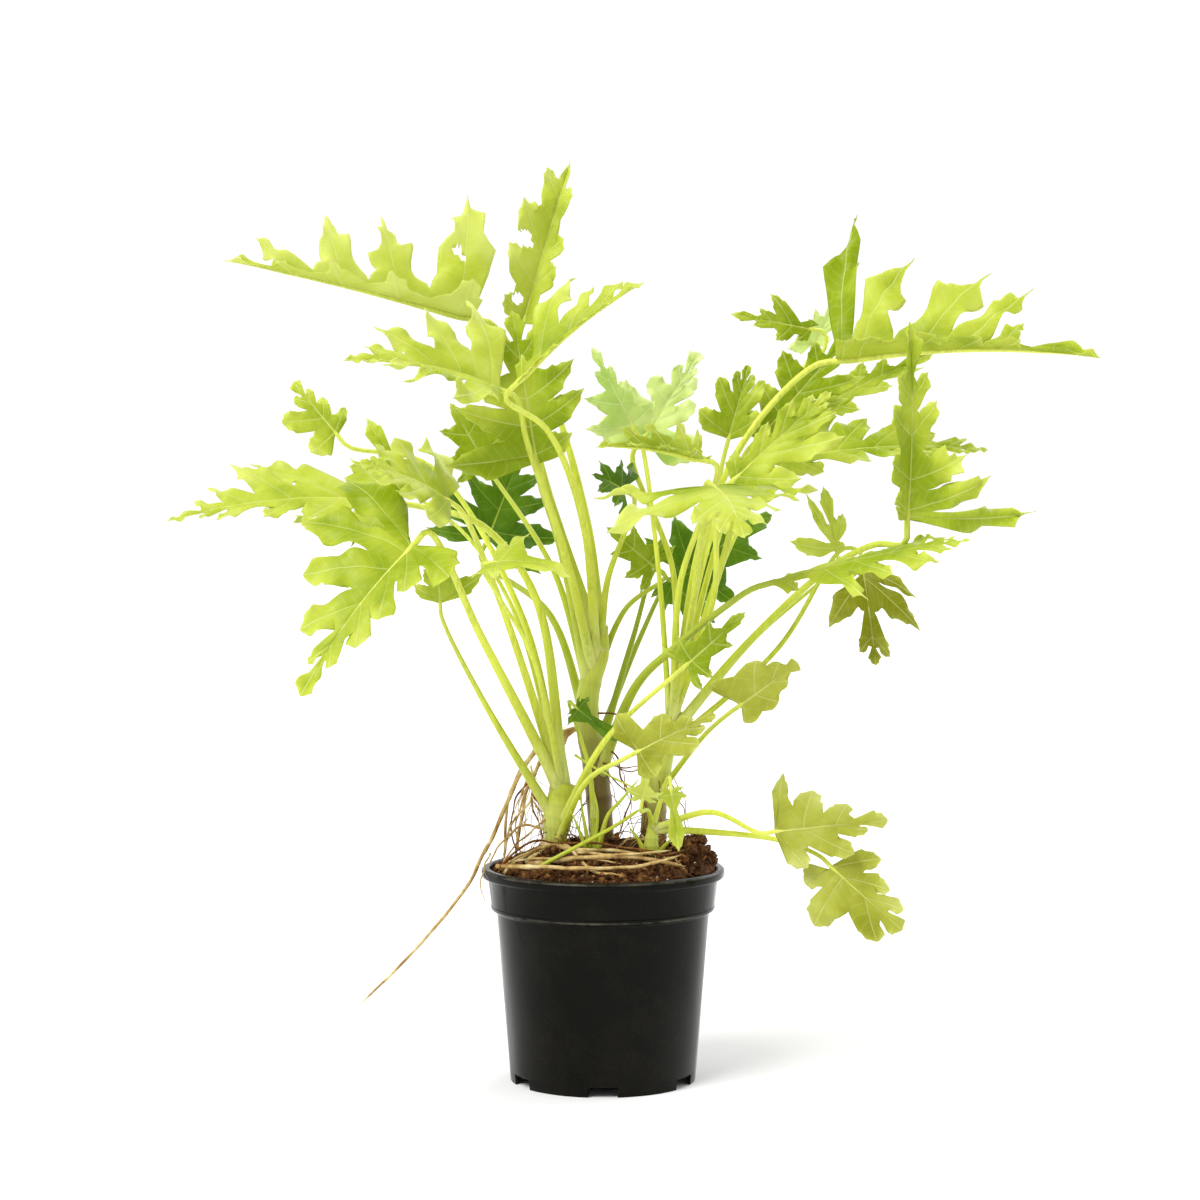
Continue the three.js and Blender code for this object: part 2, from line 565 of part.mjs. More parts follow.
// The point x along the midrib, with the midrib's own direction and upward normal there.
function midribAt(frame, x) {
  const angle = frame.turn / 2 - Math.max(x, 0) / frame.bend;
  const start = frame.turn / 2;
  const ahead = frame.bend * (Math.sin(start) - Math.sin(angle));
  const above = frame.bend * (Math.cos(angle) - Math.cos(start));
  const direction = frame.along.clone().multiplyScalar(Math.cos(angle));
  direction.addScaledVector(frame.up, Math.sin(angle));
  const normal = frame.up.clone().multiplyScalar(Math.cos(angle));
  normal.addScaledVector(frame.along, -Math.sin(angle));
  const point = frame.at.clone().addScaledVector(frame.along, ahead);
  point.addScaledVector(frame.up, above).addScaledVector(direction, Math.min(x, 0));
  return { point, direction, normal };
}

// Lifts a point of the flat blade, x along the midrib and y to its left, into place. Each half
// is folded up about the midrib, its lobes bend down, and its edge ripples.
function placed(leaf, frame, seed, x, y, rise) {
  const { point, normal } = midribAt(frame, x);
  const out = Math.abs(y);
  const side = Math.sign(y);
  const share = out / (leaf.wide * frame.length);
  const fold = radians(leaf.fold);
  const ripple = leaf.wave * frame.length * Math.sin((18 * x) / frame.length + seed + side);
  const bow = (leaf.curl * out * out) / frame.length;
  const across = out * Math.cos(fold) * side;
  const lift = out * Math.sin(fold) + rise + ripple * share ** 1.5 - bow;
  return point.addScaledVector(frame.left, across).addScaledVector(normal, lift);
}

// A lobe's half width along its own vein, as shares of its length and of its fullest width.
const lobeProfiles = {
  plain: { shares: [0, 0.4, 0.66, 1], widths: [0.8, 1, 0.8, 0], corners: [0.66, 1] },
  blunt: { shares: [0, 0.45, 0.8, 1], widths: [0.8, 1, 0.85, 0], corners: [0.8, 1] },
  toothed: {
    shares: [0, 0.4, 0.6, 0.68, 0.86, 1],
    widths: [0.7, 0.95, 1.1, 0.72, 0.44, 0],
    corners: [0.6, 0.68, 1],
  },
};

function along(profile, share) {
  const { shares, widths } = profile;
  const high = Math.max(shares.findIndex((s) => s >= share), 1);
  const part = (share - shares[high - 1]) / (shares[high] - shares[high - 1]);
  return THREE.MathUtils.lerp(widths[high - 1], widths[high], part);
}

// Where the lobes leave the midrib: as listed, or by rule.
function rootsOf(leaf) {
  if (leaf.roots) return leaf.roots;
  return Array.from({ length: leaf.pairs + 1 }, (_, i) => {
    return i === 0 ? 0.03 : 0.1 + (0.66 * (i - 1)) / leaf.pairs;
  });
}

// The lobes of one side by rule, from the base towards the tip: they stand steeper and are
// longer near the base.
function ruledLobes(leaf, seed, side) {
  return rootsOf(leaf).map((root, i) => {
    const share = i === 0 ? 0 : (i - 1) / leaf.pairs;
    const vary = 1 + 0.1 * wobble(seed, 10 * i + side);
    const turn = 5 * wobble(seed, 10 * i + side + 5);
    const reach = vary * (i === 0 ? leaf.base : leaf.wide * (1 - 0.5 * share ** 1.2));
    const angle = i === 0 ? leaf.back : 80 - 44 * share;
    return [angle + turn, reach, (i === 0 ? 0.8 : 1) * leaf.fat * reach];
  });
}

// The lobes of one side from the base to the tip. The last one is the tip of the blade itself.
function lobesOf(leaf, length, seed, side) {
  const rows = (side > 0 ? leaf.left : leaf.right) ?? ruledLobes(leaf, seed, side);
  const roots = rootsOf(leaf);
  const last = roots[roots.length - 1];
  const [end, endHalf] = leaf.end ?? [last + 0.33 * (1 - last), 0.67 * leaf.fat * (1 - last)];
  const cut = leaf.cuts ? leaf.cuts[side > 0 ? 0 : 1] : leaf.cut;
  const lobes = [...rows, [0, 1 - end, endHalf]].map(([angle, reach, half], i) => {
    const isTip = i === rows.length;
    const turned = radians(angle);
    const profile = lobeProfiles[leaf.shape === "toothed" && reach < toothedReach ? "plain" : leaf.shape];
    return {
      root: length * (isTip ? end : roots[i]),
      angle: turned,
      reach: length * reach,
      half: length * half,
      bayShare: Math.min(0.9 * (1 - (isTip ? leaf.cut : cut)), profile.corners[0] - 0.1),
      lift: isTip ? 0 : 0.06 * wobble(seed, 10 * i + side + 5),
      tilt: isTip ? 0 : 0.3 * wobble(seed, 10 * i + side),
      profile,
      side,
      line: new THREE.Vector2(Math.cos(turned), side * Math.sin(turned)),
      front: new THREE.Vector2(Math.sin(turned), -side * Math.cos(turned)),
    };
  });
  // Each bay lies midway between two neighbours, not much farther out than the shorter allows.
  lobes.forEach((lobe, i) => {
    const next = lobes[i + 1];
    if (!next) return;
    const limit = 1.5 * Math.min(lobe.bayShare * lobe.reach, next.bayShare * next.reach);
    const bay = veinAt(lobe, Math.min(lobe.bayShare, limit / lobe.reach));
    bay.add(veinAt(next, Math.min(next.bayShare, limit / next.reach))).multiplyScalar(0.5);
    lobe.frontBay = bay;
    next.rearBay = bay;
    lobe.next = next;
    next.before = lobe;
    lobe.frontFoot = (lobe.root + next.root) / 2;
    next.rearFoot = lobe.frontFoot;
  });
  const tipLobe = lobes[lobes.length - 1];
  tipLobe.rearFoot = tipLobe.root;
  lobes[lobes.length - 2].frontFoot = tipLobe.root;
  lobes[0].rearFoot = 0;
  lobes[0].rearBay = new THREE.Vector2(0, side * (leaf.thick[1] + 0.7));
  return lobes;
}

// A point on a lobe's vein, which bends a little towards the tip of the blade.
function veinAt(lobe, share) {
  const start = new THREE.Vector2(lobe.root, 0);
  start.addScaledVector(lobe.line, share * lobe.reach);
  return start.addScaledVector(lobe.front, 0.12 * share * share * lobe.reach * Math.sin(lobe.angle));
}

// How wide half a lobe can be beside its neighbour: a share of the distance to that vein.
function roomBeside(lobe, facing, share) {
  const neighbour = facing > 0 ? lobe.next : lobe.before;
  if (!neighbour) return Infinity;
  const point = veinAt(lobe, share);
  const nearest = new THREE.Vector2(neighbour.root, 0);
  const ahead = point.clone().sub(nearest).dot(neighbour.line);
  nearest.addScaledVector(neighbour.line, THREE.MathUtils.clamp(ahead, 0, neighbour.reach));
  return lobeRoom * nearest.distanceTo(point);
}

// How wide it can be there without turning back behind the line from its vein to the bay.
function roomAhead(lobe, bay, facing, share) {
  const toBay = bay.clone().sub(veinAt(lobe, lobe.bayShare));
  const ahead = toBay.dot(lobe.line);
  if (ahead <= 0) return Infinity;
  return (0.8 * (share - lobe.bayShare) * lobe.reach * facing * toBay.dot(lobe.front)) / ahead;
}

// A point on the edge of a lobe, before (-1) or behind (1) its vein: it leaves the bay along
// the vein and swings out to the lobe's full width.
function edgeAt(lobe, facing, share) {
  const bay = facing > 0 ? lobe.frontBay : lobe.rearBay;
  const open = (share - lobe.bayShare) / (0.35 * (1 - lobe.bayShare));
  const swing = THREE.MathUtils.smoothstep(open, 0, 1);
  const low = bay.clone().addScaledVector(lobe.line, (share - lobe.bayShare) * lobe.reach);
  const full = veinAt(lobe, share);
  const room = Math.min(roomBeside(lobe, facing, share), roomAhead(lobe, bay, facing, share));
  full.addScaledVector(lobe.front, facing * Math.min(lobe.half * along(lobe.profile, share), room));
  return low.lerp(full, swing);
}

// The blade as one open sheet of triangles: for each half lobe, a strip between its vein and
// its edge. Neighbouring strips share the corners where they meet.
function bladeSheet(leaf, seed) {
  const frame = bladeFrame(leaf);
  const corners = new Map();
  const points = [];
  const depths = [];
  const triangles = [];
  const corner = (flat, rise, depth) => {
    const key = flat.x.toFixed(3) + " " + (flat.y + 0).toFixed(3).replace("-0.000", "0.000");
    if (!corners.has(key)) {
      corners.set(key, points.length);
      points.push(placed(leaf, frame, seed, flat.x, flat.y, rise));
      depths.push(depth);
    }
    return corners.get(key);
  };
  for (const side of [1, -1]) {
    const lobes = lobesOf(leaf, frame.length, seed, side);
    lobes.forEach((lobe, i) => {
      const shares = [0, lobe.bayShare, ...lobe.profile.corners];
      const facings = i === lobes.length - 1 ? [-1] : [-1, 1];
      for (const facing of facings) {
        const foot = facing > 0 ? lobe.frontFoot : lobe.rearFoot;
        const bay = facing > 0 ? lobe.frontBay : lobe.rearBay;
        const rows = shares.map((share, k) => {
          const past = Math.max(share - lobe.bayShare, 0) / (1 - lobe.bayShare);
          const rise = lobe.lift * lobe.reach * past * past;
          const onMidrib = k === 0 || lobe.angle === 0;
          const from = lobe.angle === 0 ? veinAt(lobe, share).x : lobe.root;
          const rib = midribDepth * (1 - from / frame.length);
          const inner = veinAt(lobe, share);
          let outer = edgeAt(lobe, facing, share);
          if (k === 0) outer = new THREE.Vector2(foot, 0);
          if (k === 1) outer = bay.clone();
          const drop = facing * lobe.tilt * inner.distanceTo(outer) * past;
          const footRib = midribDepth * (1 - foot / frame.length);
          return [
            corner(inner, rise, onMidrib ? rib : 0.3 * (1 - share)),
            share === 1 ? -1 : corner(outer, rise + drop, k === 0 ? footRib : 0),
          ];
        });
        const flip = side * facing > 0;
        for (let k = 0; k + 1 < rows.length; k += 1) {
          const [v0, e0] = rows[k];
          const [v1, e1] = rows[k + 1];
          const pair = e1 < 0 ? [[v0, v1, e0]] : [[v0, v1, e1], [v0, e1, e0]];
          for (const [a, b, c] of pair) {
            if (a === b || b === c || a === c) continue;
            triangles.push(flip ? [a, c, b] : [a, b, c]);
          }
        }
      }
    });
  }
  return { points, triangles, depths };
}

// Gives a sheet its thickness: the same triangles above and below, walled round the edge.
function thickened({ points, triangles, depths }, thickness) {
  const normals = points.map(() => new THREE.Vector3());
  const sides = new Map();
  for (const [a, b, c] of triangles) {
    const edge = points[b].clone().sub(points[a]);
    const area = edge.cross(points[c].clone().sub(points[a]));
    for (const corner of [a, b, c]) normals[corner].add(area);
    for (const [p, q] of [[a, b], [b, c], [c, a]]) {
      if (!sides.delete(q + " " + p)) sides.set(p + " " + q, [p, q]);
    }
  }
  normals.forEach((normal) => normal.normalize());
  const count = points.length;
  const above = points.map((p, i) => p.clone().addScaledVector(normals[i], thickness / 2));
  const under = points.map((p, i) => {
    return p.clone().addScaledVector(normals[i], -thickness / 2 - depths[i]);
  });
  const faces = triangles.flatMap(([a, b, c]) => [[a, b, c], [a + count, c + count, b + count]]);
  for (const [p, q] of sides.values()) {
    faces.push([p, p + count, q + count], [p, q + count, q]);
  }
  return geometryFrom([...above, ...under], faces);
}

// Crowns with their petioles

function petioleCurve(leaf, crown) {
  const axis = curveThrough(crown.axis.map(vector));
  const foot = axis.getPoint(leaf.from);
  const frame = bladeFrame(leaf);
  const { point, direction } = midribAt(frame, 0);
  const end = point.clone().addScaledVector(direction, -petioleGap);
  const neck = end.clone().addScaledVector(direction, -7 * leaf.thick[1]);
  return curveThrough([foot, ...leaf.via.map(vector), neck, end]);
}

// The stem of a crown. With room it is the hole that the stem stands in.
function stemSolid(name, room = 0) {
  const { axis, radii } = crowns[name];
  const curve = curveThrough(axis.map(vector));
  return solidOf(taperedTube(curve, radiusAlong(radii), 9, 2 * (axis.length - 1), room));
}

function crownSolid(name) {
  const crown = crowns[name];
  let solid = stemSolid(name);
  for (const leaf of Object.values(leaves)) {
    if (leaf.stem !== name) continue;
    const curve = petioleCurve({ ...common, ...leaf }, crown);
    const [foot, top] = { ...common, ...leaf }.thick;
    const radius = (share) => top + (foot * crown.feet - top) * (1 - share) ** 1.6;
    const steps = 2 * leaf.via.length + 3;
    solid = solid.add(solidOf(taperedTube(curve, radius, petioleSides, steps)));
  }
  return solid;
}

// Pot

// A profile of [radius, height] points turned about the upright axis.
function turned(profile) {
  const points = profile.map(([radius, height]) => new THREE.Vector2(radius, height));
  return new THREE.LatheGeometry(points, pot.segments).rotateX(Math.PI / 2);
}

const collarFoot = pot.height - pot.collarHeight;
const floorTop = pot.floorLift + pot.floorThickness;
// The inside of the wall above and below the ledge under the collar.
const ledgeTop = [pot.collarFootRadius - pot.wall, collarFoot + 1.3];
const ledgeFoot = [pot.bodyTopRadius - pot.wall, collarFoot + 1.3 - pot.ledgeDrop];

function potSolid() {
  const { height, lipRadius, lipDepth, wall } = pot;
  const foot = pot.footRadius;
  const collarTop = pot.collarTopRadius;
  const shell = turned([
    [0, 0],
    [pot.padRadius, 0],
    [pot.padRadius + 1, pot.floorLift],
    [foot - wall - 0.5, pot.floorLift],
    [foot - wall, 0],
    [foot, 0],
    [pot.bodyTopRadius, collarFoot - pot.ledgeDrop],
    [pot.collarFootRadius, collarFoot],
    [collarTop, height - lipDepth],
    [lipRadius - 1.2, height - lipDepth - 0.4],
    [lipRadius, height - lipDepth + 1.2],
    [lipRadius, height - 2],
    [lipRadius - 1.4, height - 0.3],
    [lipRadius - 3.4, height],
    [collarTop - wall + 0.8, height],
    [collarTop - wall, height - 1],
    ledgeTop,
    ledgeFoot,
    [foot - wall + 0.6, floorTop],
    [0, floorTop],
  ]);
  let solid = solidOf(shell);
  for (let k = 0; k < pot.notchCount; k += 1) {
    const notch = new THREE.BoxGeometry(pot.notchReach, pot.notchWidth, pot.notchHeight + 1);
    notch.translate(foot - 6, 0, (pot.notchHeight - 1) / 2);
    notch.rotateZ((2 * Math.PI * k) / pot.notchCount - Math.PI / 2);
    solid = solid.subtract(solidOf(notch));
  }
  return solid;
}

// Soil

function soilTop(x, y) {
  const [mx, my] = soil.moundMiddle;
  const [rx, ry] = soil.ridgeMiddle;
  const [sx, sy] = soil.ridgeSpread;
  const away = ((x - mx) ** 2 + (y - my) ** 2) / soil.moundSpread ** 2;
  const mound = soil.moundHeight * Math.exp(-(away ** 2));
  const ridge = soil.ridgeHeight * Math.exp(-(((x - rx) / sx) ** 2) - ((y - ry) / sy) ** 2);
  const lumps = Math.sin(x / 4.3 + Math.sin(y / 6.1)) + Math.sin(y / 5.2 - Math.cos(x / 7.7));
  return soil.edgeLevel + mound + ridge + soil.lumpHeight * lumps;
}

// The soil fills the pot, and its top is raised into its surface. With clearance it is the
// space that the roots keep out of.
function soilSolid(clearance) {
  const inset = gap - clearance;
  const { wall, height } = pot;
  const lathe = turned([
    [0, floorTop + gap],
    [pot.footRadius - wall + 0.6 - inset, floorTop + gap],
    [ledgeFoot[0] - inset, ledgeFoot[1]],
    [ledgeTop[0] - inset, ledgeTop[1] + gap],
    [pot.collarTopRadius - wall - 0.7 - inset, height],
    ...soil.rings.toReversed().map((radius) => [radius, height]),
    [0, height],
  ]);
  const corners = lathe.attributes.position;
  for (let i = 0; i < corners.count; i += 1) {
    if (corners.getZ(i) < height - 1) continue;
    corners.setZ(i, soilTop(corners.getX(i), corners.getY(i)) + clearance);
  }
  return solidOf(lathe);
}

// Roots

function rootSolid(name) {
  const { strands } = roots[name];
  const pieces = strands.map(({ through, thick: [foot, end] }) => {
    const points = through.map(([x, y, z]) => vector([x, y, z ?? soilTop(x, y) + foot + 1.5]));
    const steps = 2 * through.length;
    return solidOf(taperedTube(curveThrough(points), radiusAlong([foot, end]), 5, steps));
  });
  if (name === "root_mat") {
    pieces.push(solidOf(taperedTube(curveThrough(collar.axis.map(vector)), radiusAlong(collar.radii), 9, 4)));
  }
  let solid = wasm.Manifold.union(pieces).subtract(soilSolid(gap));
  for (const crown of Object.keys(crowns)) solid = solid.subtract(stemSolid(crown, stemRoom));
  return solid.decompose().sort((a, b) => b.volume() - a.volume())[0];
}

const group = new THREE.Group();

// Adds a piece whose geometry is in the object's frame, hung at its own reference point.
function addPiece(name, geometry, colour, roughness, at = [0, 0, 0]) {
  const material = new THREE.MeshStandardMaterial({ color: colour, roughness, metalness: 0 });
  const mesh = new THREE.Mesh(geometry.translate(-at[0], -at[1], -at[2]), material);
  mesh.name = name;
  mesh.position.set(...at);
  group.add(mesh);
}

addPiece("pot", geometryOf(potSolid()), colours.pot, 0.35);
let filling = soilSolid(0);
for (const name of Object.keys(crowns)) filling = filling.subtract(stemSolid(name, stemRoom));
addPiece("soil", geometryOf(filling), colours.soil, 0.95);
for (const name of Object.keys(roots)) {
  const [x, y, z] = roots[name].strands[0].through[0];
  addPiece(name, geometryOf(rootSolid(name)), colours.root, 0.7, [x, y, z ?? pot.height]);
}
for (const [name, crown] of Object.entries(crowns)) {
  addPiece(name, geometryOf(crownSolid(name)), colours.stem, 0.4, crown.axis[0]);
}
Object.entries(leaves).forEach(([name, entry], index) => {
  const leaf = { ...common, ...entry };
  const blade = thickened(bladeSheet(leaf, index + 1), bladeThickness);
  addPiece(name, blade, bladeColour[name] ?? colours.blade, 0.45, leaf.at);
});

export default group;
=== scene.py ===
import math
import bpy
import numpy as np
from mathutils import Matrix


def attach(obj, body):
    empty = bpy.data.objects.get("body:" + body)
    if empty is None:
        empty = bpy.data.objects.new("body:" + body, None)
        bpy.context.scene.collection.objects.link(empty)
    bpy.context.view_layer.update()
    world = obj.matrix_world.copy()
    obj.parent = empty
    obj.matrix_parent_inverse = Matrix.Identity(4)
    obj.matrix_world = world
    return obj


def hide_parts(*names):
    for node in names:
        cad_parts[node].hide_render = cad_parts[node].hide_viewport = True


# A potted split-leaf philodendron with golden-green foliage, dressed round its solids.
# Sizes are in millimetres until a mesh is written, as in the part's own source.
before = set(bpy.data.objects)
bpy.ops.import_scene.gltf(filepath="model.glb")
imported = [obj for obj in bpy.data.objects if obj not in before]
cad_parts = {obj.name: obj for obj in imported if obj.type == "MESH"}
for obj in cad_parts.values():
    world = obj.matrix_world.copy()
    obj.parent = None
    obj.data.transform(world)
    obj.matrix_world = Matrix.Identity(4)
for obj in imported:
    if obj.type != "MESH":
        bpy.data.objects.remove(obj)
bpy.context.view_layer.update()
mm = 0.001


# Meshes

# Puts whole arrays into a mesh: points in millimetres, faces as arrays of 3 or 4 corners each.
# cornerUv holds one pair for each face corner, and pointValues named numbers for each point.
def makePiece(name, points, faces, material, nodes=(), cornerUv=None, pointValues=None,
              smooth=True):
    corners = np.concatenate([face.ravel() for face in faces])
    sizes = np.concatenate([np.full(len(face), face.shape[1]) for face in faces])
    starts = np.concatenate([[0], np.cumsum(sizes)[:-1]])
    mesh = bpy.data.meshes.new(name)
    mesh.vertices.add(len(points))
    mesh.vertices.foreach_set("co", (points * mm).astype(np.float32).ravel())
    mesh.loops.add(len(corners))
    mesh.loops.foreach_set("vertex_index", corners.astype(np.int32))
    mesh.polygons.add(len(sizes))
    mesh.polygons.foreach_set("loop_start", starts.astype(np.int32))
    mesh.polygons.foreach_set("use_smooth", np.full(len(sizes), smooth))
    if cornerUv is not None:
        mesh.uv_layers.new(name="veinMap").data.foreach_set("uv", cornerUv.astype(np.float32).ravel())
    for valueName, values in (pointValues or {}).items():
        layer = mesh.attributes.new(valueName, "FLOAT", "POINT")
        layer.data.foreach_set("value", values.astype(np.float32))
    mesh.update(calc_edges=True)
    mesh.validate()
    mesh.materials.append(material)
    piece = bpy.data.objects.new(name, mesh)
    bpy.context.collection.objects.link(piece)
    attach(piece, "root")
    if nodes:
        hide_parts(*nodes)
    return piece


# Stacks closed parts, each (points, quads, triangles, values), into one set of arrays.
def stacked(parts):
    offsets = np.cumsum([0] + [len(part[0]) for part in parts])
    points = np.concatenate([part[0] for part in parts])
    quads = np.concatenate([part[1] + shift for part, shift in zip(parts, offsets)])
    triangles = np.concatenate([part[2] + shift for part, shift in zip(parts, offsets)])
    values = {key: np.concatenate([part[3][key] for part in parts]) for key in parts[0][3]}
    return points, [quads, triangles], values


# The quads of a grid of points, row after row, closed round each row or left open there.
def gridQuads(rows, columns, closed=True):
    across = np.arange(columns if closed else columns - 1)
    row, column = np.meshgrid(np.arange(rows - 1), across, indexing="ij")
    here = (row * columns + column).ravel()
    beside = (row * columns + (column + 1) % columns).ravel()
    return np.stack([here, beside, beside + columns, here + columns], 1)


# The triangles from a pole to a closed grid's first row, and from its last row to another pole.
def poleFans(rows, columns, foot, top):
    around = np.arange(columns)
    after = (around + 1) % columns
    last = (rows - 1) * columns
    return np.concatenate([np.stack([np.full(columns, foot), after, around], 1),
                           np.stack([np.full(columns, top), last + around, last + after], 1)])


# A repeatable number from -1 to 1: the fraction of a large multiple of a sine.
def wobble(seed, turn):
    s = math.sin(seed * 12.9898 + turn * 78.233) * 437.585
    return 2 * (s - math.floor(s)) - 1


def smoothStep(value, low=0.0, high=1.0):
    t = np.clip((value - low) / (high - low), 0, 1)
    return t * t * (3 - 2 * t)


def unit(vectors):
    return vectors / np.linalg.norm(vectors, axis=-1, keepdims=True)


# Soft lumps over space: six sines of turned and shifted coordinates, added, from -1 to 1.
def softNoise(points, size, seed):
    rng = np.random.default_rng(seed)
    waves = rng.normal(size=(6, 3))
    phases = rng.uniform(0, 2 * math.pi, 6)
    return np.sin(points @ waves.T / size + phases).mean(-1) * 1.6


# A curve through points, with the pull of each span set by the root of its length, sampled at
# equal steps along its length.
def smoothPath(points, count):
    p = np.asarray(points, float)
    p = np.concatenate([[2 * p[0] - p[1]], p, [2 * p[-1] - p[-2]]])
    step = np.sqrt(np.linalg.norm(np.diff(p, axis=0), axis=1))[:, None]
    spans = []
    t = np.linspace(0, 1, 24, endpoint=False)[:, None]
    for k in range(1, len(p) - 2):
        a, b, c, d = p[k - 1 : k + 3]
        before, here, after = step[k - 1], step[k], step[k + 1]
        leave = ((b - a) / before - (c - a) / (before + here) + (c - b) / here) * here
        arrive = ((c - b) / here - (d - b) / (here + after) + (d - c) / after) * here
        bend = -3 * b + 3 * c - 2 * leave - arrive
        twist = 2 * b - 2 * c + leave + arrive
        spans.append(b + leave * t + bend * t**2 + twist * t**3)
    dense = np.concatenate(spans + [p[-2:-1]])
    along = np.concatenate([[0], np.cumsum(np.linalg.norm(np.diff(dense, axis=0), axis=1))])
    even = np.linspace(0, along[-1], count)
    return np.stack([np.interp(even, along, dense[:, k]) for k in range(3)], 1)


# A round profile carried along a path: each ring lies square to the path, and its first
# direction is carried from ring to ring without twisting. Poles close both ends.
def tube(path, radii, sides, values=None):
    path = np.asarray(path, float)
    count = len(path)
    radii = np.broadcast_to(radii, count).astype(float)
    tangents = unit(np.gradient(path, axis=0))
    across = np.zeros_like(path)
    first = np.cross(tangents[0], [0.0, 1.0, 0.0])
    if np.linalg.norm(first) < 0.2:  # the path starts nearly along that direction
        first = np.cross(tangents[0], [1.0, 0.0, 0.0])
    across[0] = unit(first)
    for k in range(1, count):
        across[k] = unit(across[k - 1] - tangents[k] * (across[k - 1] @ tangents[k]))
    up = np.cross(tangents, across)
    turn = np.linspace(0, 2 * math.pi, sides, endpoint=False)[:, None]
    ring = across[:, None] * np.cos(turn) + up[:, None] * np.sin(turn)
    points = (path[:, None] + ring * radii[:, None, None]).reshape(-1, 3)
    spread = {}
    for key, value in (values or {}).items():
        stations = np.broadcast_to(value, count)
        spread[key] = np.concatenate([np.repeat(stations, sides), stations[:1], stations[-1:]])
    fans = poleFans(count, sides, len(points), len(points) + 1)
    return np.concatenate([points, path[:1], path[-1:]]), gridQuads(count, sides), fans, spread


# Profile points (radius, height) turned about the upright axis, poles at both ends.
def turned(profile, segments):
    profile = np.asarray(profile, float)
    rings = profile[1:-1]
    turn = np.linspace(0, 2 * math.pi, segments, endpoint=False)
    grid = np.stack([rings[:, :1] * np.cos(turn), rings[:, :1] * np.sin(turn),
                     np.repeat(rings[:, 1:], segments, 1)], -1).reshape(-1, 3)
    poles = np.array([[0, 0, profile[0, 1]], [0, 0, profile[-1, 1]]])
    fans = poleFans(len(rings), segments, len(grid), len(grid) + 1)
    return np.concatenate([grid, poles]), gridQuads(len(rings), segments), fans, {}


# Materials

# A hex colour as linear light: a straight line near black and a power above it.
def linear(hexColour):
    channels = np.array([int(hexColour[k : k + 2], 16) / 255 for k in (1, 3, 5)])
    value = np.where(channels <= 0.04045, channels / 12.92, ((channels + 0.055) / 1.055) ** 2.4)
    return (*value, 1.0)


def newMaterial(name):
    material = bpy.data.materials.new(name)
    material.use_nodes = True
    return material, material.node_tree.nodes["Principled BSDF"]


# Adds a node, or takes one that is there, and sets it up. A key is a property, or an input by
# its number or name. An input takes a plain value, or a link from a socket or from the first
# output of a node. stops: a ramp's positions with their hex colours.
def addNode(owner, kind, settings=None):
    tree = owner.node_tree
    node = tree.nodes.new("ShaderNode" + kind) if isinstance(kind, str) else kind
    for key, value in (settings or {}).items():
        if key == "stops":
            elements = node.color_ramp.elements
            elements[0].position, elements[1].position = value[0][0], value[-1][0]
            elements[0].color, elements[1].color = linear(value[0][1]), linear(value[-1][1])
            for position, colour in value[1:-1]:
                elements.new(position).color = linear(colour)
        elif isinstance(value, (bpy.types.Node, bpy.types.NodeSocket)):
            tree.links.new(getattr(value, "outputs", [value])[0], node.inputs[key])
        elif isinstance(key, int) or key in node.inputs:
            node.inputs[key].default_value = value
        else:
            setattr(node, key, value)
    return node


# Fresh aroid leaf: a thin waxy skin over soft tissue that lets light through, so a blade glows
# where it is lit from behind. Fine pale veins, deeper colour along them and towards the base,
# and paler, yellower margins.
bladeFinishes = {
    "goldBlade": {"slot": "blade_gold", "tones": ("#84990a", "#b1bd3a", "#ccd56c"), "vein": "#d8dd92"},
    "mintBlade": {"slot": "blade_mint", "tones": ("#9dbb52", "#c8d884", "#dae8a6"), "vein": "#dcebb6"},
    "oliveBlade": {"slot": "blade_olive", "tones": ("#7b800c", "#a0a538", "#bec26a"), "vein": "#cdd08a"},
    # shadeBlade: the blade colours painted deeper, as painted shade, for leaves that lie in shade behind the
    # others.
    "shadeBlade": {"slot": "blade_shade", "tones": ("#3c6004", "#5b7f10", "#89a638"), "vein": "#9bb150"},
}
# Side veins leave a lobe's vein forwards, in lines that drift a little. A vein or midrib is full
# up to the first of its two distances and gone at the second. Spacings and distances are in mm.
bladeDetail = {
    "mapUnit": 100.0, "sideVeinSpacing": 7.5, "sideVeinSlant": -0.7, "sideVeinShare": 0.24,
    "drift": {"Scale": 38.0, "Detail": 2.0}, "driftShare": 0.06, "sideVein": {"From Max": 0.13},
    "lobeVein": (0.15, 0.85), "midrib": (0.5, 1.5), "veinShare": 0.42,
    "patches": {"Scale": 20.0, "Detail": 3.0}, "patchShare": 1.5, "patchLevel": -0.56, "marginShare": 0.42,
    "tonesAt": (0.05, 0.45, 0.95), "grain": {"Scale": 140.0, "Detail": 2.0}, "grainShare": 0.08,
    "bump": {"Strength": 0.35, "Distance": 0.0005},
    "skin": {"Roughness": 0.42, "IOR": 1.42, "Specular IOR Level": 0.22, "Subsurface Weight": 0.2,
             "Subsurface Radius": (0.9, 1.0, 0.35), "Subsurface Scale": 0.0016},
}


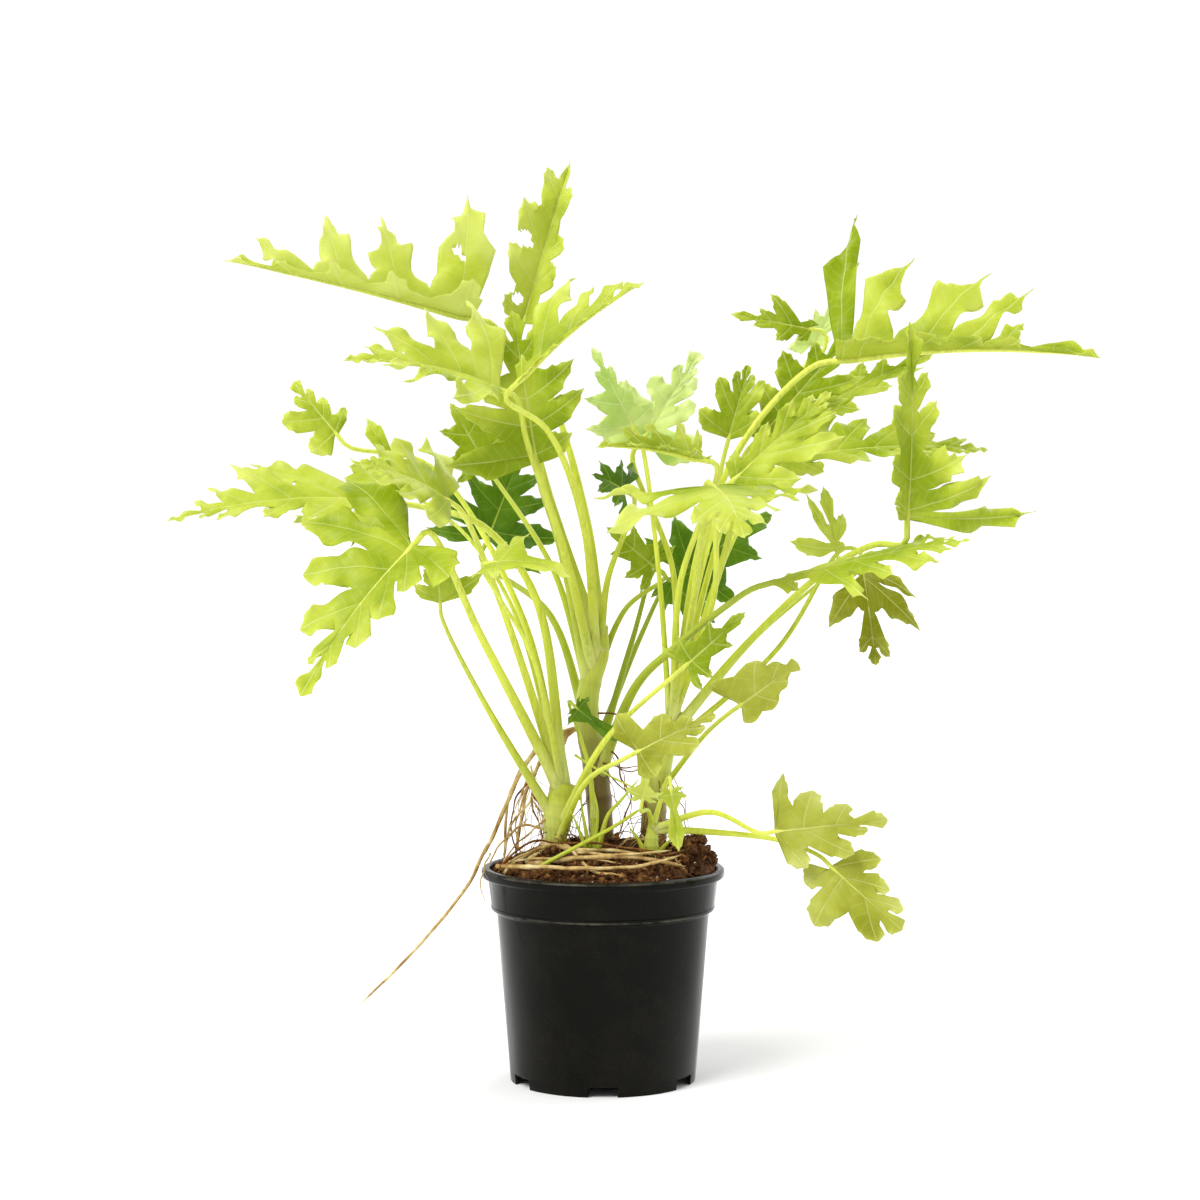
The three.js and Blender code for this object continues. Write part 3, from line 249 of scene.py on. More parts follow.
def bladeMaterial(name):
    look, d = bladeFinishes[name], bladeDetail
    material, shader = newMaterial(name)
    veinMap = addNode(material, "UVMap", {"uv_map": "veinMap"})
    parts = addNode(material, "SeparateXYZ", {0: veinMap})
    along, across = parts.outputs[0], parts.outputs[1]
    place = addNode(material, "TexCoord").outputs["Object"]
    slant = {"operation": "MULTIPLY_ADD", 0: across, 1: d["sideVeinSlant"], 2: along}
    slant = addNode(material, "Math", slant)
    drift = addNode(material, "TexNoise", {**d["drift"], "Vector": place})
    bent = addNode(material, "Math", {"operation": "MULTIPLY_ADD", 0: drift, 1: d["driftShare"], 2: slant})
    often = d["mapUnit"] / d["sideVeinSpacing"]
    turns = addNode(material, "Math", {"operation": "MULTIPLY", 0: bent, 1: often})
    phase = addNode(material, "Math", {"operation": "PINGPONG", 0: turns, 1: 0.5})
    line = {"To Min": 1.0, "To Max": 0.0, "interpolation_type": "SMOOTHSTEP"}
    sideVein = addNode(material, "MapRange", {**d["sideVein"], **line, "Value": phase})
    strong = []
    for key, distance in (("lobeVein", across), ("midrib", along)):
        full, gone = (reach / d["mapUnit"] for reach in d[key])
        ends = {"From Min": full, "From Max": gone, "Value": distance}
        strong.append(addNode(material, "MapRange", {**line, **ends}))
    strong = addNode(material, "Math", {"operation": "MAXIMUM", 0: strong[0], 1: strong[1]})
    faint = addNode(material, "Math", {"operation": "MULTIPLY", 0: sideVein, 1: d["sideVeinShare"]})
    veins = addNode(material, "Math", {"operation": "MAXIMUM", 0: strong, 1: faint})
    patches = addNode(material, "TexNoise", {**d["patches"], "Vector": place})
    margin = addNode(material, "Attribute", {"attribute_name": "margin"}).outputs["Fac"]
    # tone carries painted light and shade for whole blades and single lobes, with a random spread of the
    # leaf's own tone.
    tone = addNode(material, "Attribute", {"attribute_name": "tone"}).outputs["Fac"]
    spread = {"operation": "MULTIPLY_ADD", 0: patches, 1: d["patchShare"], 2: d["patchLevel"]}
    spread = addNode(material, "Math", spread)
    toward = {"operation": "MULTIPLY_ADD", 0: margin, 1: d["marginShare"], 2: spread}
    toward = addNode(material, "Math", toward)
    level = addNode(material, "Math", {"operation": "ADD", 0: toward, 1: tone})
    ramp = addNode(material, "ValToRGB", {0: level, "stops": list(zip(d["tonesAt"], look["tones"]))})
    share = addNode(material, "Math", {"operation": "MULTIPLY", 0: veins, 1: d["veinShare"]})
    colour = addNode(material, "Mix", {"data_type": "RGBA", 0: share, 6: ramp, 7: linear(look["vein"])})
    grain = addNode(material, "TexNoise", {**d["grain"], "Vector": place})
    height = addNode(material, "Math", {"operation": "MULTIPLY_ADD", 0: grain, 1: d["grainShare"], 2: veins})
    bump = addNode(material, "Bump", {**d["bump"], "Height": height})
    addNode(material, shader, {**d["skin"], "Base Color": colour.outputs[2], "Normal": bump})
    return material


# Fresh petiole: smooth, pale yellow-green, whiter where it clasps the stem, with fine length
# streaks and a soft wax gloss. Old rings on the stem are tan and corky. The shaded colour is
# painted shade, a deeper green for petioles that lie among the others. The stops run from the
# foot up.
petioleFinish = {
    "stops": [(0.02, "#d9df88"), (0.2, "#cad244"), (0.5, "#dde450"), (1.0, "#e0e766")],
    "streak": "#a6ae28", "shaded": "#8c9c1c", "ring": "#6b4d22", "stretch": {"Scale": (1.0, 1.0, 0.06)},
    "streaks": {"Scale": 420.0, "Detail": 2.0}, "patches": {"Scale": 30.0, "Detail": 3.0},
    "streakShare": {"From Min": 0.18, "From Max": 0.42, "To Max": 0.55},
    "bump": {"Strength": 0.15, "Distance": 0.0004},
    "skin": {"Roughness": 0.38, "Specular IOR Level": 0.35, "Subsurface Weight": 0.3,
             "Subsurface Radius": (0.7, 1.0, 0.2), "Subsurface Scale": 0.003},
}


def petioleMaterial():
    look = petioleFinish
    material, shader = newMaterial("freshPetiole")
    place = addNode(material, "TexCoord").outputs["Object"]
    rise, age, depth = (addNode(material, "Attribute", {"attribute_name": name}).outputs["Fac"]
                        for name in ("rise", "age", "depth"))
    colour = addNode(material, "ValToRGB", {0: rise, "stops": look["stops"]}).outputs[0]
    stretch = addNode(material, "Mapping", {**look["stretch"], "Vector": place})
    streaks = addNode(material, "TexNoise", {**look["streaks"], "Vector": stretch})
    patches = addNode(material, "TexNoise", {**look["patches"], "Vector": place})
    mixed = addNode(material, "Math", {"operation": "MULTIPLY", 0: streaks, 1: patches})
    share = addNode(material, "MapRange", {**look["streakShare"], "Value": mixed})
    # shaded is painted shade: a deeper green mixed in by depth, where a petiole lies among the others.
    for amount, over in ((share, "streak"), (depth, "shaded"), (age, "ring")):
        layer = addNode(material, "Mix", {"data_type": "RGBA", 0: amount, 6: colour, 7: linear(look[over])})
        colour = layer.outputs[2]
    bump = addNode(material, "Bump", {**look["bump"], "Height": streaks})
    addNode(material, shader, {**look["skin"], "Base Color": colour, "Normal": bump})
    return material


# Skins that are rough all over: living root, peat and bark crumbs, perlite grit. Each is a ramp
# of two or three colours over a fine noise with some broad patches, and the noise as its bump.
roughFinishes = {
    "aerialRoot": {
        "stops": [(0.3, "#7d5626"), (0.48, "#c2a263"), (0.66, "#ead7a2")], "patch": 0.0, "roughness": 0.7,
        "noise": {"Scale": 70.0, "Detail": 5.0}, "bump": {"Strength": 0.5, "Distance": 0.0006},
    },
    "woodyRoot": {
        "stops": [(0.3, "#3c1f0b"), (0.55, "#7d4f24"), (0.75, "#a67a45")], "patch": 0.0, "roughness": 0.75,
        "noise": {"Scale": 80.0, "Detail": 5.0}, "bump": {"Strength": 0.6, "Distance": 0.0006},
    },
    "pottingMix": {
        "stops": [(0.5, "#160a03"), (0.75, "#4c2c12"), (1.0, "#8a6238")], "patch": 0.5, "roughness": 0.95,
        "noise": {"Scale": 210.0, "Detail": 6.0}, "bump": {"Strength": 0.9, "Distance": 0.0015},
    },
    "barkChip": {
        "stops": [(0.45, "#3a200d"), (0.75, "#7b5128"), (1.0, "#b98d58")], "patch": 0.5, "roughness": 0.9,
        "noise": {"Scale": 160.0, "Detail": 5.0}, "bump": {"Strength": 0.8, "Distance": 0.001},
    },
    "perliteGrit": {
        "stops": [(0.3, "#cfc6b4"), (0.7, "#f4f0e6")], "patch": 0.0, "roughness": 0.9,
        "noise": {"Scale": 300.0, "Detail": 3.0}, "bump": {"Strength": 0.5, "Distance": 0.0004},
    },
}
roughDetail = {"fine": {"Roughness": 0.65}, "patches": {"Scale": 32.0, "Detail": 2.0}, "sheen": 0.2}


def roughMaterial(name):
    look, d = roughFinishes[name], roughDetail
    material, shader = newMaterial(name)
    place = addNode(material, "TexCoord").outputs["Object"]
    fine = addNode(material, "TexNoise", {**look["noise"], **d["fine"], "Vector": place})
    patches = addNode(material, "TexNoise", {**d["patches"], "Vector": place})
    level = addNode(material, "Math", {"operation": "MULTIPLY_ADD", 0: patches, 1: look["patch"], 2: fine})
    ramp = addNode(material, "ValToRGB", {0: level, "stops": look["stops"]})
    bump = addNode(material, "Bump", {**look["bump"], "Height": fine})
    skin = {"Roughness": look["roughness"], "Specular IOR Level": d["sheen"]}
    addNode(material, shader, {**skin, "Base Color": ramp, "Normal": bump})
    return material


# Injection-moulded polypropylene in carbon black: deep satin black, with soil dust that lies
# in the lower part, upright flow marks in its gloss, and a painted highlight on its two edges: a
# pale broken line where the collar's foot and the lip catch the light, given by height and half
# width in metres.
potFinish = {
    "stops": [(0.5, "#070703"), (0.9, "#18160c")],
    "edgeHighlight": "#4d493e", "edges": ((0.1488, 0.0009), (0.1824, 0.0009)),
    "dust": {"Scale": 30.0, "Detail": 8.0, "Roughness": 0.72}, "worn": {"From Min": 0.4, "From Max": 0.62},
    "dustBelow": {"From Max": 0.09, "To Min": 0.16, "To Max": 0.0}, "upright": {"Scale": (1.0, 1.0, 0.04)},
    "flow": {"Scale": 60.0, "Detail": 3.0}, "grain": {"Scale": 900.0, "Detail": 2.0},
    "roughness": {"From Min": 0.35, "From Max": 0.65, "To Min": 0.1, "To Max": 0.3}, "gloss": 0.09,
    "bump": {"Strength": 0.1, "Distance": 0.0003},
}


def potMaterial():
    look = potFinish
    material, shader = newMaterial("blackPolypropylene")
    place = addNode(material, "TexCoord").outputs["Object"]
    dust = addNode(material, "TexNoise", {**look["dust"], "Vector": place})
    height = addNode(material, "SeparateXYZ", {0: place}).outputs[2]
    low = addNode(material, "MapRange", {**look["dustBelow"], "Value": height})
    level = addNode(material, "Math", {"operation": "ADD", 0: dust, 1: low})
    ramp = addNode(material, "ValToRGB", {0: level, "stops": look["stops"]})
    # The painted highlight: thin pale bands at the two edges, broken up by the dust noise.
    bands = [addNode(material, "Math", {"operation": "COMPARE", 0: height, 1: at, 2: half})
             for at, half in look["edges"]]
    edges = addNode(material, "Math", {"operation": "MAXIMUM", 0: bands[0], 1: bands[1]})
    patchy = addNode(material, "MapRange", {**look["worn"], "Value": dust})
    worn = addNode(material, "Math", {"operation": "MULTIPLY", 0: edges, 1: patchy})
    colour = addNode(material, "Mix", {"data_type": "RGBA", 0: worn, 6: ramp, 7: linear(look["edgeHighlight"])})
    upright = addNode(material, "Mapping", {**look["upright"], "Vector": place})
    flow = addNode(material, "TexNoise", {**look["flow"], "Vector": upright})
    rough = addNode(material, "MapRange", {**look["roughness"], "Value": flow})
    grain = addNode(material, "TexNoise", {**look["grain"], "Vector": place})
    bump = addNode(material, "Bump", {**look["bump"], "Height": grain})
    skin = {"Specular IOR Level": look["gloss"], "Base Color": colour.outputs[2], "Roughness": rough}
    addNode(material, shader, {**skin, "Normal": bump})
    return material


finishes = {name: bladeMaterial(name) for name in bladeFinishes}
finishes.update({name: roughMaterial(name) for name in roughFinishes})
finishes["petiole"] = petioleMaterial()
finishes["pot"] = potMaterial()
print("materials made")

# Camera and light

# The camera was fitted to the pot in the photograph: 2.33 m in front of the plant, half a metre
# up, turned down a little, with the long lens that the photograph's narrow view asks for.
cameraView = {"place": (0.0, -2.33, 0.51), "downward": 2.36, "lens": 81.33, "shift": -0.0025}


def makeCamera():
    data = bpy.data.cameras.new("studioCamera")
    data.lens = cameraView["lens"]
    data.sensor_width = 36.0
    data.shift_x = cameraView["shift"]
    camera = bpy.data.objects.new("studioCamera", data)
    camera.location = cameraView["place"]
    camera.rotation_euler = (math.radians(90 - cameraView["downward"]), 0.0, 0.0)
    bpy.context.collection.objects.link(camera)
    bpy.context.scene.camera = camera


# A white cove: bright round the horizon, softer overhead, dimmer behind the camera, so that the
# black pot keeps a dark front between bright sides. One broad soft key comes from the upper left
# in front and a weaker one from behind that shines through the blades.
studio = {
    "floor": "#f6f6f6", "floorRoughness": 0.9, "floorSize": 60.0,
    "sky": {"From Min": 0.2, "From Max": 0.5, "To Min": 1.06, "To Max": 0.66},  # horizon, overhead
    "front": {"From Min": -1.0, "From Max": -0.3, "To Min": 0.6, "To Max": 0.0},  # how much dimmer
    "lifted": {"From Min": 0.06, "From Max": 0.2},
    "lamps": {
        "softKey": {"from": (-0.75, -0.75, 1.25), "strength": 2.7, "angle": 34.0},
        "softBack": {"from": (0.7, 0.8, 0.9), "strength": 1.5, "angle": 50.0},
    },
}


def makeStudio():
    world = bpy.data.worlds.new("paleStudio")
    bpy.context.scene.world = world
    world.use_nodes = True
    direction = addNode(world, "TexCoord").outputs["Generated"]
    upward = addNode(world, "SeparateXYZ", {0: direction}).outputs[2]
    strength = addNode(world, "MapRange", {**studio["sky"], "Value": upward})
    inward = addNode(world, "SeparateXYZ", {0: direction}).outputs[1]
    dimming = addNode(world, "MapRange", {**studio["front"], "Value": inward})
    lifted = addNode(world, "MapRange", {**studio["lifted"], "Value": upward})
    dimming = addNode(world, "Math", {"operation": "MULTIPLY", 0: dimming, 1: lifted})
    share = addNode(world, "Math", {"operation": "SUBTRACT", 0: 1.0, 1: dimming})
    strength = addNode(world, "Math", {"operation": "MULTIPLY", 0: strength, 1: share})
    addNode(world, world.node_tree.nodes["Background"], {"Color": (1.0, 1.0, 1.0, 1.0), "Strength": strength})
    for name, lamp in studio["lamps"].items():
        light = bpy.data.lights.new(name, "SUN")
        light.energy = lamp["strength"]
        light.angle = math.radians(lamp["angle"])
        away = np.array(lamp["from"])
        lampObject = bpy.data.objects.new(name, light)
        tilt = math.acos(away[2] / np.linalg.norm(away))
        lampObject.rotation_euler = (tilt, 0.0, math.atan2(away[1], away[0]) + math.pi / 2)
        bpy.context.collection.objects.link(lampObject)
    half = studio["floorSize"] / 2
    mesh = bpy.data.meshes.new("studioFloor")
    corners = [(-half, -half, 0), (half, -half, 0), (half, half, 0), (-half, half, 0)]
    mesh.from_pydata(corners, [], [(0, 1, 2, 3)])
    material, shader = newMaterial("matteWhitePaint")
    paint = {"Base Color": linear(studio["floor"]), "Roughness": studio["floorRoughness"]}
    addNode(material, shader, paint)
    mesh.materials.append(material)
    floor = bpy.data.objects.new("studioFloor", mesh)
    bpy.context.collection.objects.link(floor)
    bpy.context.scene.view_settings.view_transform = "Standard"


makeCamera()
makeStudio()
print("camera and studio made")

# Pot

potShape = {
    "height": 184.0, "footRadius": 80.0, "bodyTopRadius": 92.0, "collarFootRadius": 96.5,
    "collarTopRadius": 99.5, "collarHeight": 36.0, "lipRadius": 105.0, "lipDepth": 8.0, "wall": 1.8,
    "floorLift": 6.0, "floorThickness": 2.0, "padRadius": 16.0, "notchCount": 6, "notchWidth": 25.0,
    "notchHeight": 8.6, "segments": 192, "notchSegments": 17, "round": 0.8, "sharpEdge": 50.0,
}


# Rounds the corners of a profile: each corner becomes three points, a little before it, near
# it and a little after it.
def eased(profile, reach):
    p = np.asarray(profile, float)
    before = unit(p[:-2] - p[1:-1])
    after = unit(p[2:] - p[1:-1])
    room = np.minimum(np.linalg.norm(p[:-2] - p[1:-1], axis=1), np.linalg.norm(p[2:] - p[1:-1], axis=1))
    step = np.minimum(reach, 0.4 * room)[:, None]
    middle = p[1:-1] + (before + after) * step * 0.28
    three = np.stack([p[1:-1] + before * step, middle, p[1:-1] + after * step], 1)
    return np.concatenate([p[:1], three.reshape(-1, 2), p[-1:]])


# The foot ring between two notches: the wall's section carried round part of a circle, with
# both ends closed. Its points are radius times cosine and sine of the angle, at each height.
def footArc(start, end):
    foot, wall, high = potShape["footRadius"], potShape["wall"], potShape["notchHeight"] + 1.5
    slope = (potShape["bodyTopRadius"] - foot) / (potShape["height"] - potShape["collarHeight"] - 1.5)
    section = np.array([[foot - wall + 0.3, 0.0], [foot - 0.3, 0.0], [foot, 0.5], [foot + slope * high, high],
                        [foot - wall + slope * high, high], [foot - wall, 0.4]])
    turns = np.linspace(start, end, potShape["notchSegments"] + 1)
    ring = np.stack([section[:, 0] * np.cos(turns)[:, None], section[:, 0] * np.sin(turns)[:, None],
                     np.repeat(section[None, :, 1], len(turns), 0)], -1)
    count = len(section)
    fan = np.arange(1, count - 1)
    last = (len(turns) - 1) * count
    lower = np.stack([np.zeros(count - 2, int), fan, fan + 1], 1)
    upper = np.stack([np.full(count - 2, last), last + fan + 1, last + fan], 1)
    quads = gridQuads(len(turns), count)[:, [0, 3, 2, 1]]
    return ring.reshape(-1, 3), quads, np.concatenate([lower, upper]), {}


# The pot: its section from the pad round the rim to the floor, turned about the axis, and the arcs
# of its foot between the notches.
def makePot():
    s = potShape
    collarFoot = s["height"] - s["collarHeight"]
    foot, wall, high = s["footRadius"], s["wall"], s["height"]
    notch = s["notchHeight"]
    slope = (s["bodyTopRadius"] - foot) / (collarFoot - 1.5)
    floorTop = s["floorLift"] + s["floorThickness"]
    outline = [
        (0, 0), (s["padRadius"], 0), (s["padRadius"] + 1, s["floorLift"]), (foot - 9, s["floorLift"]),
        (foot - 7.5, notch), (foot + slope * notch, notch),
        (s["bodyTopRadius"] - 0.3, collarFoot - 3), (s["bodyTopRadius"] + 0.5, collarFoot - 1.5),
        (s["collarFootRadius"], collarFoot), (s["collarFootRadius"] + 0.3, collarFoot + 3),
        (s["collarFootRadius"] - 0.1, collarFoot + 3.8),
        (s["collarTopRadius"] - 0.2, high - s["lipDepth"] - 0.6),
        (s["lipRadius"] - 1.2, high - s["lipDepth"] - 0.4),
        (s["lipRadius"], high - s["lipDepth"] + 1.4), (s["lipRadius"], high - 2.2),
        (s["lipRadius"] - 1.6, high - 0.4), (s["lipRadius"] - 3.4, high),
        (s["collarTopRadius"] - wall + 0.8, high), (s["collarTopRadius"] - wall, high - 1.2),
        (s["collarFootRadius"] - wall, collarFoot + 1.3), (s["bodyTopRadius"] - wall, collarFoot - 0.2),
        (foot - wall + 0.6, floorTop + 1), (foot - wall - 3, floorTop), (0, floorTop),
    ]
    body = turned(eased(outline, s["round"]), s["segments"])
    half = math.asin(s["notchWidth"] / 2 / foot)
    turn = 2 * math.pi / s["notchCount"]
    arcs = [footArc(-math.pi / 2 + k * turn + half, -math.pi / 2 + (k + 1) * turn - half)
            for k in range(s["notchCount"])]
    points, faces, _ = stacked([body] + arcs)
    pot = makePiece("nurseryPot", points, faces, finishes["pot"], ["pot"])
    edges = pot.modifiers.new("softEdges", "EDGE_SPLIT")
    edges.split_angle = math.radians(s["sharpEdge"])


makePot()
print("pot made")

# Soil

soilShape = {
    "edgeLevel": 178.0, "moundHeight": 24.0, "moundMiddle": (2.0, 2.0), "moundSpread": 80.0,
    "ridgeHeight": 20.0, "ridgeMiddle": (80.0, 8.0), "ridgeSpread": (15.0, 34.0), "lumpHeight": 1.1,
    "lumpWaves": (4.3, 6.1, 5.2, 7.7), "dents": (0.72, 1.2),
    "radius": 96.9, "underside": 160.0, "rings": 90, "ringPack": 0.8, "sectors": 260, "seed": 11,
    "wallShare": 0.35, "wallReach": 0.04, "inset": 0.97, "crown": 1.5, "crumbPack": 2.2,
    "roughness": [(1.5, 2.6, 3), (0.9, 1.1, 4), (2.0, 7.0, 5)],  # height, size and seed of each noise
}
# Loose bits: how many, the least and the largest size, how uneven, and the finish.
crumbKinds = {
    "soilCrumbs": (2600, (0.8, 3.0), (0.6, 1.2), "pottingMix"),
    "barkPieces": (420, (1.6, 4.6), (0.3, 1.2), "barkChip"),
    "perliteGrains": (150, (0.5, 1.3), (0.8, 1.1), "perliteGrit"),
}
# The rough lump of clods that leans on the right rim.
clodHeap = {
    "count": 46, "turn": (-34, 30), "out": (74, 97), "size": (2.0, 5.6), "rise": (-2, 5),
    "stretch": (0.6, 1.3),
}


# Height of the soil: a level, a full round heap, a ridge by the right rim, and low waves.
def soilTop(x, y):
    s = soilShape
    away = ((x - s["moundMiddle"][0]) ** 2 + (y - s["moundMiddle"][1]) ** 2) / s["moundSpread"] ** 2
    mound = s["moundHeight"] * np.exp(-(away**2))
    ridge = s["ridgeHeight"] * np.exp(-(((x - s["ridgeMiddle"][0]) / s["ridgeSpread"][0]) ** 2)
                                      - ((y - s["ridgeMiddle"][1]) / s["ridgeSpread"][1]) ** 2)
    a, b, c, d = s["lumpWaves"]
    lumps = np.sin(x / a + np.sin(y / b)) + np.sin(y / c - np.cos(x / d))
    return s["edgeLevel"] + mound + ridge + s["lumpHeight"] * lumps


# A twenty-sided lump: the corners of three golden rectangles, on a sphere of radius one.
def lumpShape():
    g = (1 + math.sqrt(5)) / 2
    corners = np.array([(-1, g, 0), (1, g, 0), (-1, -g, 0), (1, -g, 0), (0, -1, g), (0, 1, g),
                        (0, -1, -g), (0, 1, -g), (g, 0, -1), (g, 0, 1), (-g, 0, -1), (-g, 0, 1)], float)
    faces = np.array([(0, 11, 5), (0, 5, 1), (0, 1, 7), (0, 7, 10), (0, 10, 11), (1, 5, 9), (5, 11, 4),
                      (11, 10, 2), (10, 7, 6), (7, 1, 8), (3, 9, 4), (3, 4, 2), (3, 2, 6), (3, 6, 8),
                      (3, 8, 9), (4, 9, 5), (2, 4, 11), (6, 2, 10), (8, 6, 7), (9, 8, 1)])
    return unit(corners), faces


# Many lumps at once: each is the same shape stretched, turned and dented by its own numbers,
# then moved to its place.
def scattered(places, sizes, stretch, rng):
    corners, faces = lumpShape()
    count = len(places)
    scale = sizes[:, None] * rng.uniform(stretch[0], stretch[1], (count, 3))
    dented = corners[None] * rng.uniform(*soilShape["dents"], (count, len(corners), 1)) * scale[:, None]
    turns, _ = np.linalg.qr(rng.normal(size=(count, 3, 3)))
    turns *= np.sign(np.linalg.det(turns))[:, None, None]
    points = np.einsum("nij,nkj->nki", turns, dented) + places[:, None]
    indices = faces[None] + (np.arange(count) * len(corners))[:, None, None]
    return points.reshape(-1, 3), indices.reshape(-1, 3)


# The soil's body: its top is the height above plus fine noise that calms down at the pot's wall.
def makeSoil():
    s = soilShape
    radius = np.linspace(0, 1, s["rings"])[1:] ** s["ringPack"] * s["radius"]
    turn = np.linspace(0, 2 * math.pi, s["sectors"], endpoint=False)
    x, y = radius[:, None] * np.cos(turn), radius[:, None] * np.sin(turn)
    flat = np.stack([x, y, np.zeros_like(x)], -1)
    fine = sum(height * softNoise(flat, size, seed) for height, size, seed in s["roughness"])
    fade = smoothStep(1 - radius / s["radius"], 0, s["wallReach"])[:, None]
    fine = fine * (s["wallShare"] + (1 - s["wallShare"]) * fade)
    top = np.stack([x, y, soilTop(x, y) + fine], -1)[::-1]
    under = np.stack([x[-1] * s["inset"], y[-1] * s["inset"], np.full(s["sectors"], s["underside"])], -1)
    grid = np.concatenate([under[None], top]).reshape(-1, 3)
    rows = len(radius) + 1
    poles = np.array([[0, 0, s["underside"]], [0, 0, float(soilTop(0.0, 0.0)) + s["crown"]]])
    faces = [gridQuads(rows, s["sectors"]), poleFans(rows, s["sectors"], len(grid), len(grid) + 1)]
    makePiece("pottingSoil", np.concatenate([grid, poles]), faces, finishes["pottingMix"], ["soil"])


# Loose bits strewn evenly over the soil, at the root of a random share of its radius, and mostly
# small, because their size grows with a power of another share. Then the clods.
def makeCrumbs():
    rng = np.random.default_rng(soilShape["seed"])
    for name, (number, sizes, stretch, finish) in crumbKinds.items():
        spread = np.sqrt(rng.uniform(0, 1, number)) * (soilShape["radius"] - 3)
        angle = rng.uniform(0, 2 * math.pi, number)
        x, y = spread * np.cos(angle), spread * np.sin(angle)
        big = sizes[0] + (sizes[1] - sizes[0]) * rng.uniform(0, 1, number) ** soilShape["crumbPack"]
        places = np.stack([x, y, soilTop(x, y) + 0.35 * big + rng.uniform(-0.6, 1.4, number)], 1)
        points, triangles = scattered(places, big, stretch, rng)
        makePiece(name, points, [triangles], finishes[finish], smooth=False)
    heap, number = clodHeap, clodHeap["count"]
    angle = np.radians(rng.uniform(*heap["turn"], number))
    out = rng.uniform(*heap["out"], number)
    x, y = out * np.cos(angle), out * np.sin(angle)
    big = rng.uniform(*heap["size"], number)
    places = np.stack([x, y, soilTop(x, y) + rng.uniform(*heap["rise"], number)], 1)
    points, triangles = scattered(places, big, heap["stretch"], rng)
    makePiece("soilClods", points, [triangles], finishes["pottingMix"], smooth=False)


makeSoil()
makeCrumbs()
print("soil made")

# Crowns and leaves

# Crowns: the axis of each short stem from the soil up, with its radius at each point. feet: how
# thick its petioles start. bark: the height below which it has turned brown and corky.
crowns = {
    "crown_left": {
        "axis": [[-42, 0, 168], [-42, 0, 192], [-41, 0, 208], [-39, 0, 226], [-35, 0, 248], [-33, 0, 256]],
        "radii": [4.5, 6, 9, 12.5, 13, 9], "feet": 1, "bark": 205,
    },
    "crown_centre": {
        "axis": [[2, 42, 160], [-6, 41, 260], [-14, 40, 311], [-11, 39, 340], [-3, 38, 364], [-2, 37, 390]],
        "radii": [12, 11, 11.5, 11, 9.5, 6.5], "feet": 1, "bark": 318,
    },
    "crown_right": {
        "axis": [[45, 15, 160], [45, 14, 240], [54, 12, 285], [62, 10, 318]],
        "radii": [10.5, 11.5, 10, 7], "feet": 0.72, "bark": 270,
    },
    "crown_front": {
        "axis": [[-8, -22, 165], [-8, -22, 212], [-8, -22, 228]],
        "radii": [3.5, 3.8, 2.8], "feet": 0.8, "bark": 200,
    },
    "crown_shoot": {
        "axis": [[41, -30, 165], [41, -30, 206], [42, -31, 218], [43, -32, 226]],
        "radii": [5.5, 7, 6.5, 4], "feet": 0.85, "bark": 196,
    },
}

# What a leaf has unless its own entry says otherwise; a length with no unit is a share of the
# midrib's. at, tip: ends of the midrib. face: where the blade looks. droop, fold: the bend of
# the midrib and the lift of each half, in degrees. wide: its reach to a side. curl, wave: how
# its halves bend down and ripple. stem, from, via: the crown, how far up it the petiole starts,
# and where that passes. thick: the petiole's radii at its foot and at the blade.
# left, right: a side's lobes from the base, as angle, reach and half width. roots: where they
# leave the midrib. end: root and half width of the tip's lobe. cut, or cuts for the two sides:
# how deep the bays go. pairs, base, back, fat: the rule for a leaf that lists no lobes.
# tone, lobeShading: how much paler (more) or deeper (less) a blade is, and single lobes
# by side and number. This is painted light where a blade glows lit from behind and painted shade
# where it lies deep among the others, with some of the leaf's own tone. holes: small tears, as the
# place seen from the front and the reach in millimetres.
# green: the share of painted shade, a deeper green, in its petiole, for leaves deep among the others.
common = {
    "face": [0, -1, 0], "droop": 25, "fold": 12, "pairs": 2, "wide": 0.42, "base": 0.4, "back": 108,
    "cut": 0.5, "fat": 0.24, "curl": 0.25, "wave": 0.012, "shape": "plain", "from": 0.9, "thick": [4, 1.9],
    "finish": "goldBlade", "tone": 0.0, "lobeShading": {}, "holes": [],
}
grown = {"pairs": 4, "cut": 0.68, "fat": 0.165, "shape": "toothed", "thick": [5.6, 2.6]}
middling = {"pairs": 3, "cut": 0.62, "fat": 0.195, "thick": [4.8, 2.3]}
small = {"pairs": 1, "thick": [3.2, 1.5]}

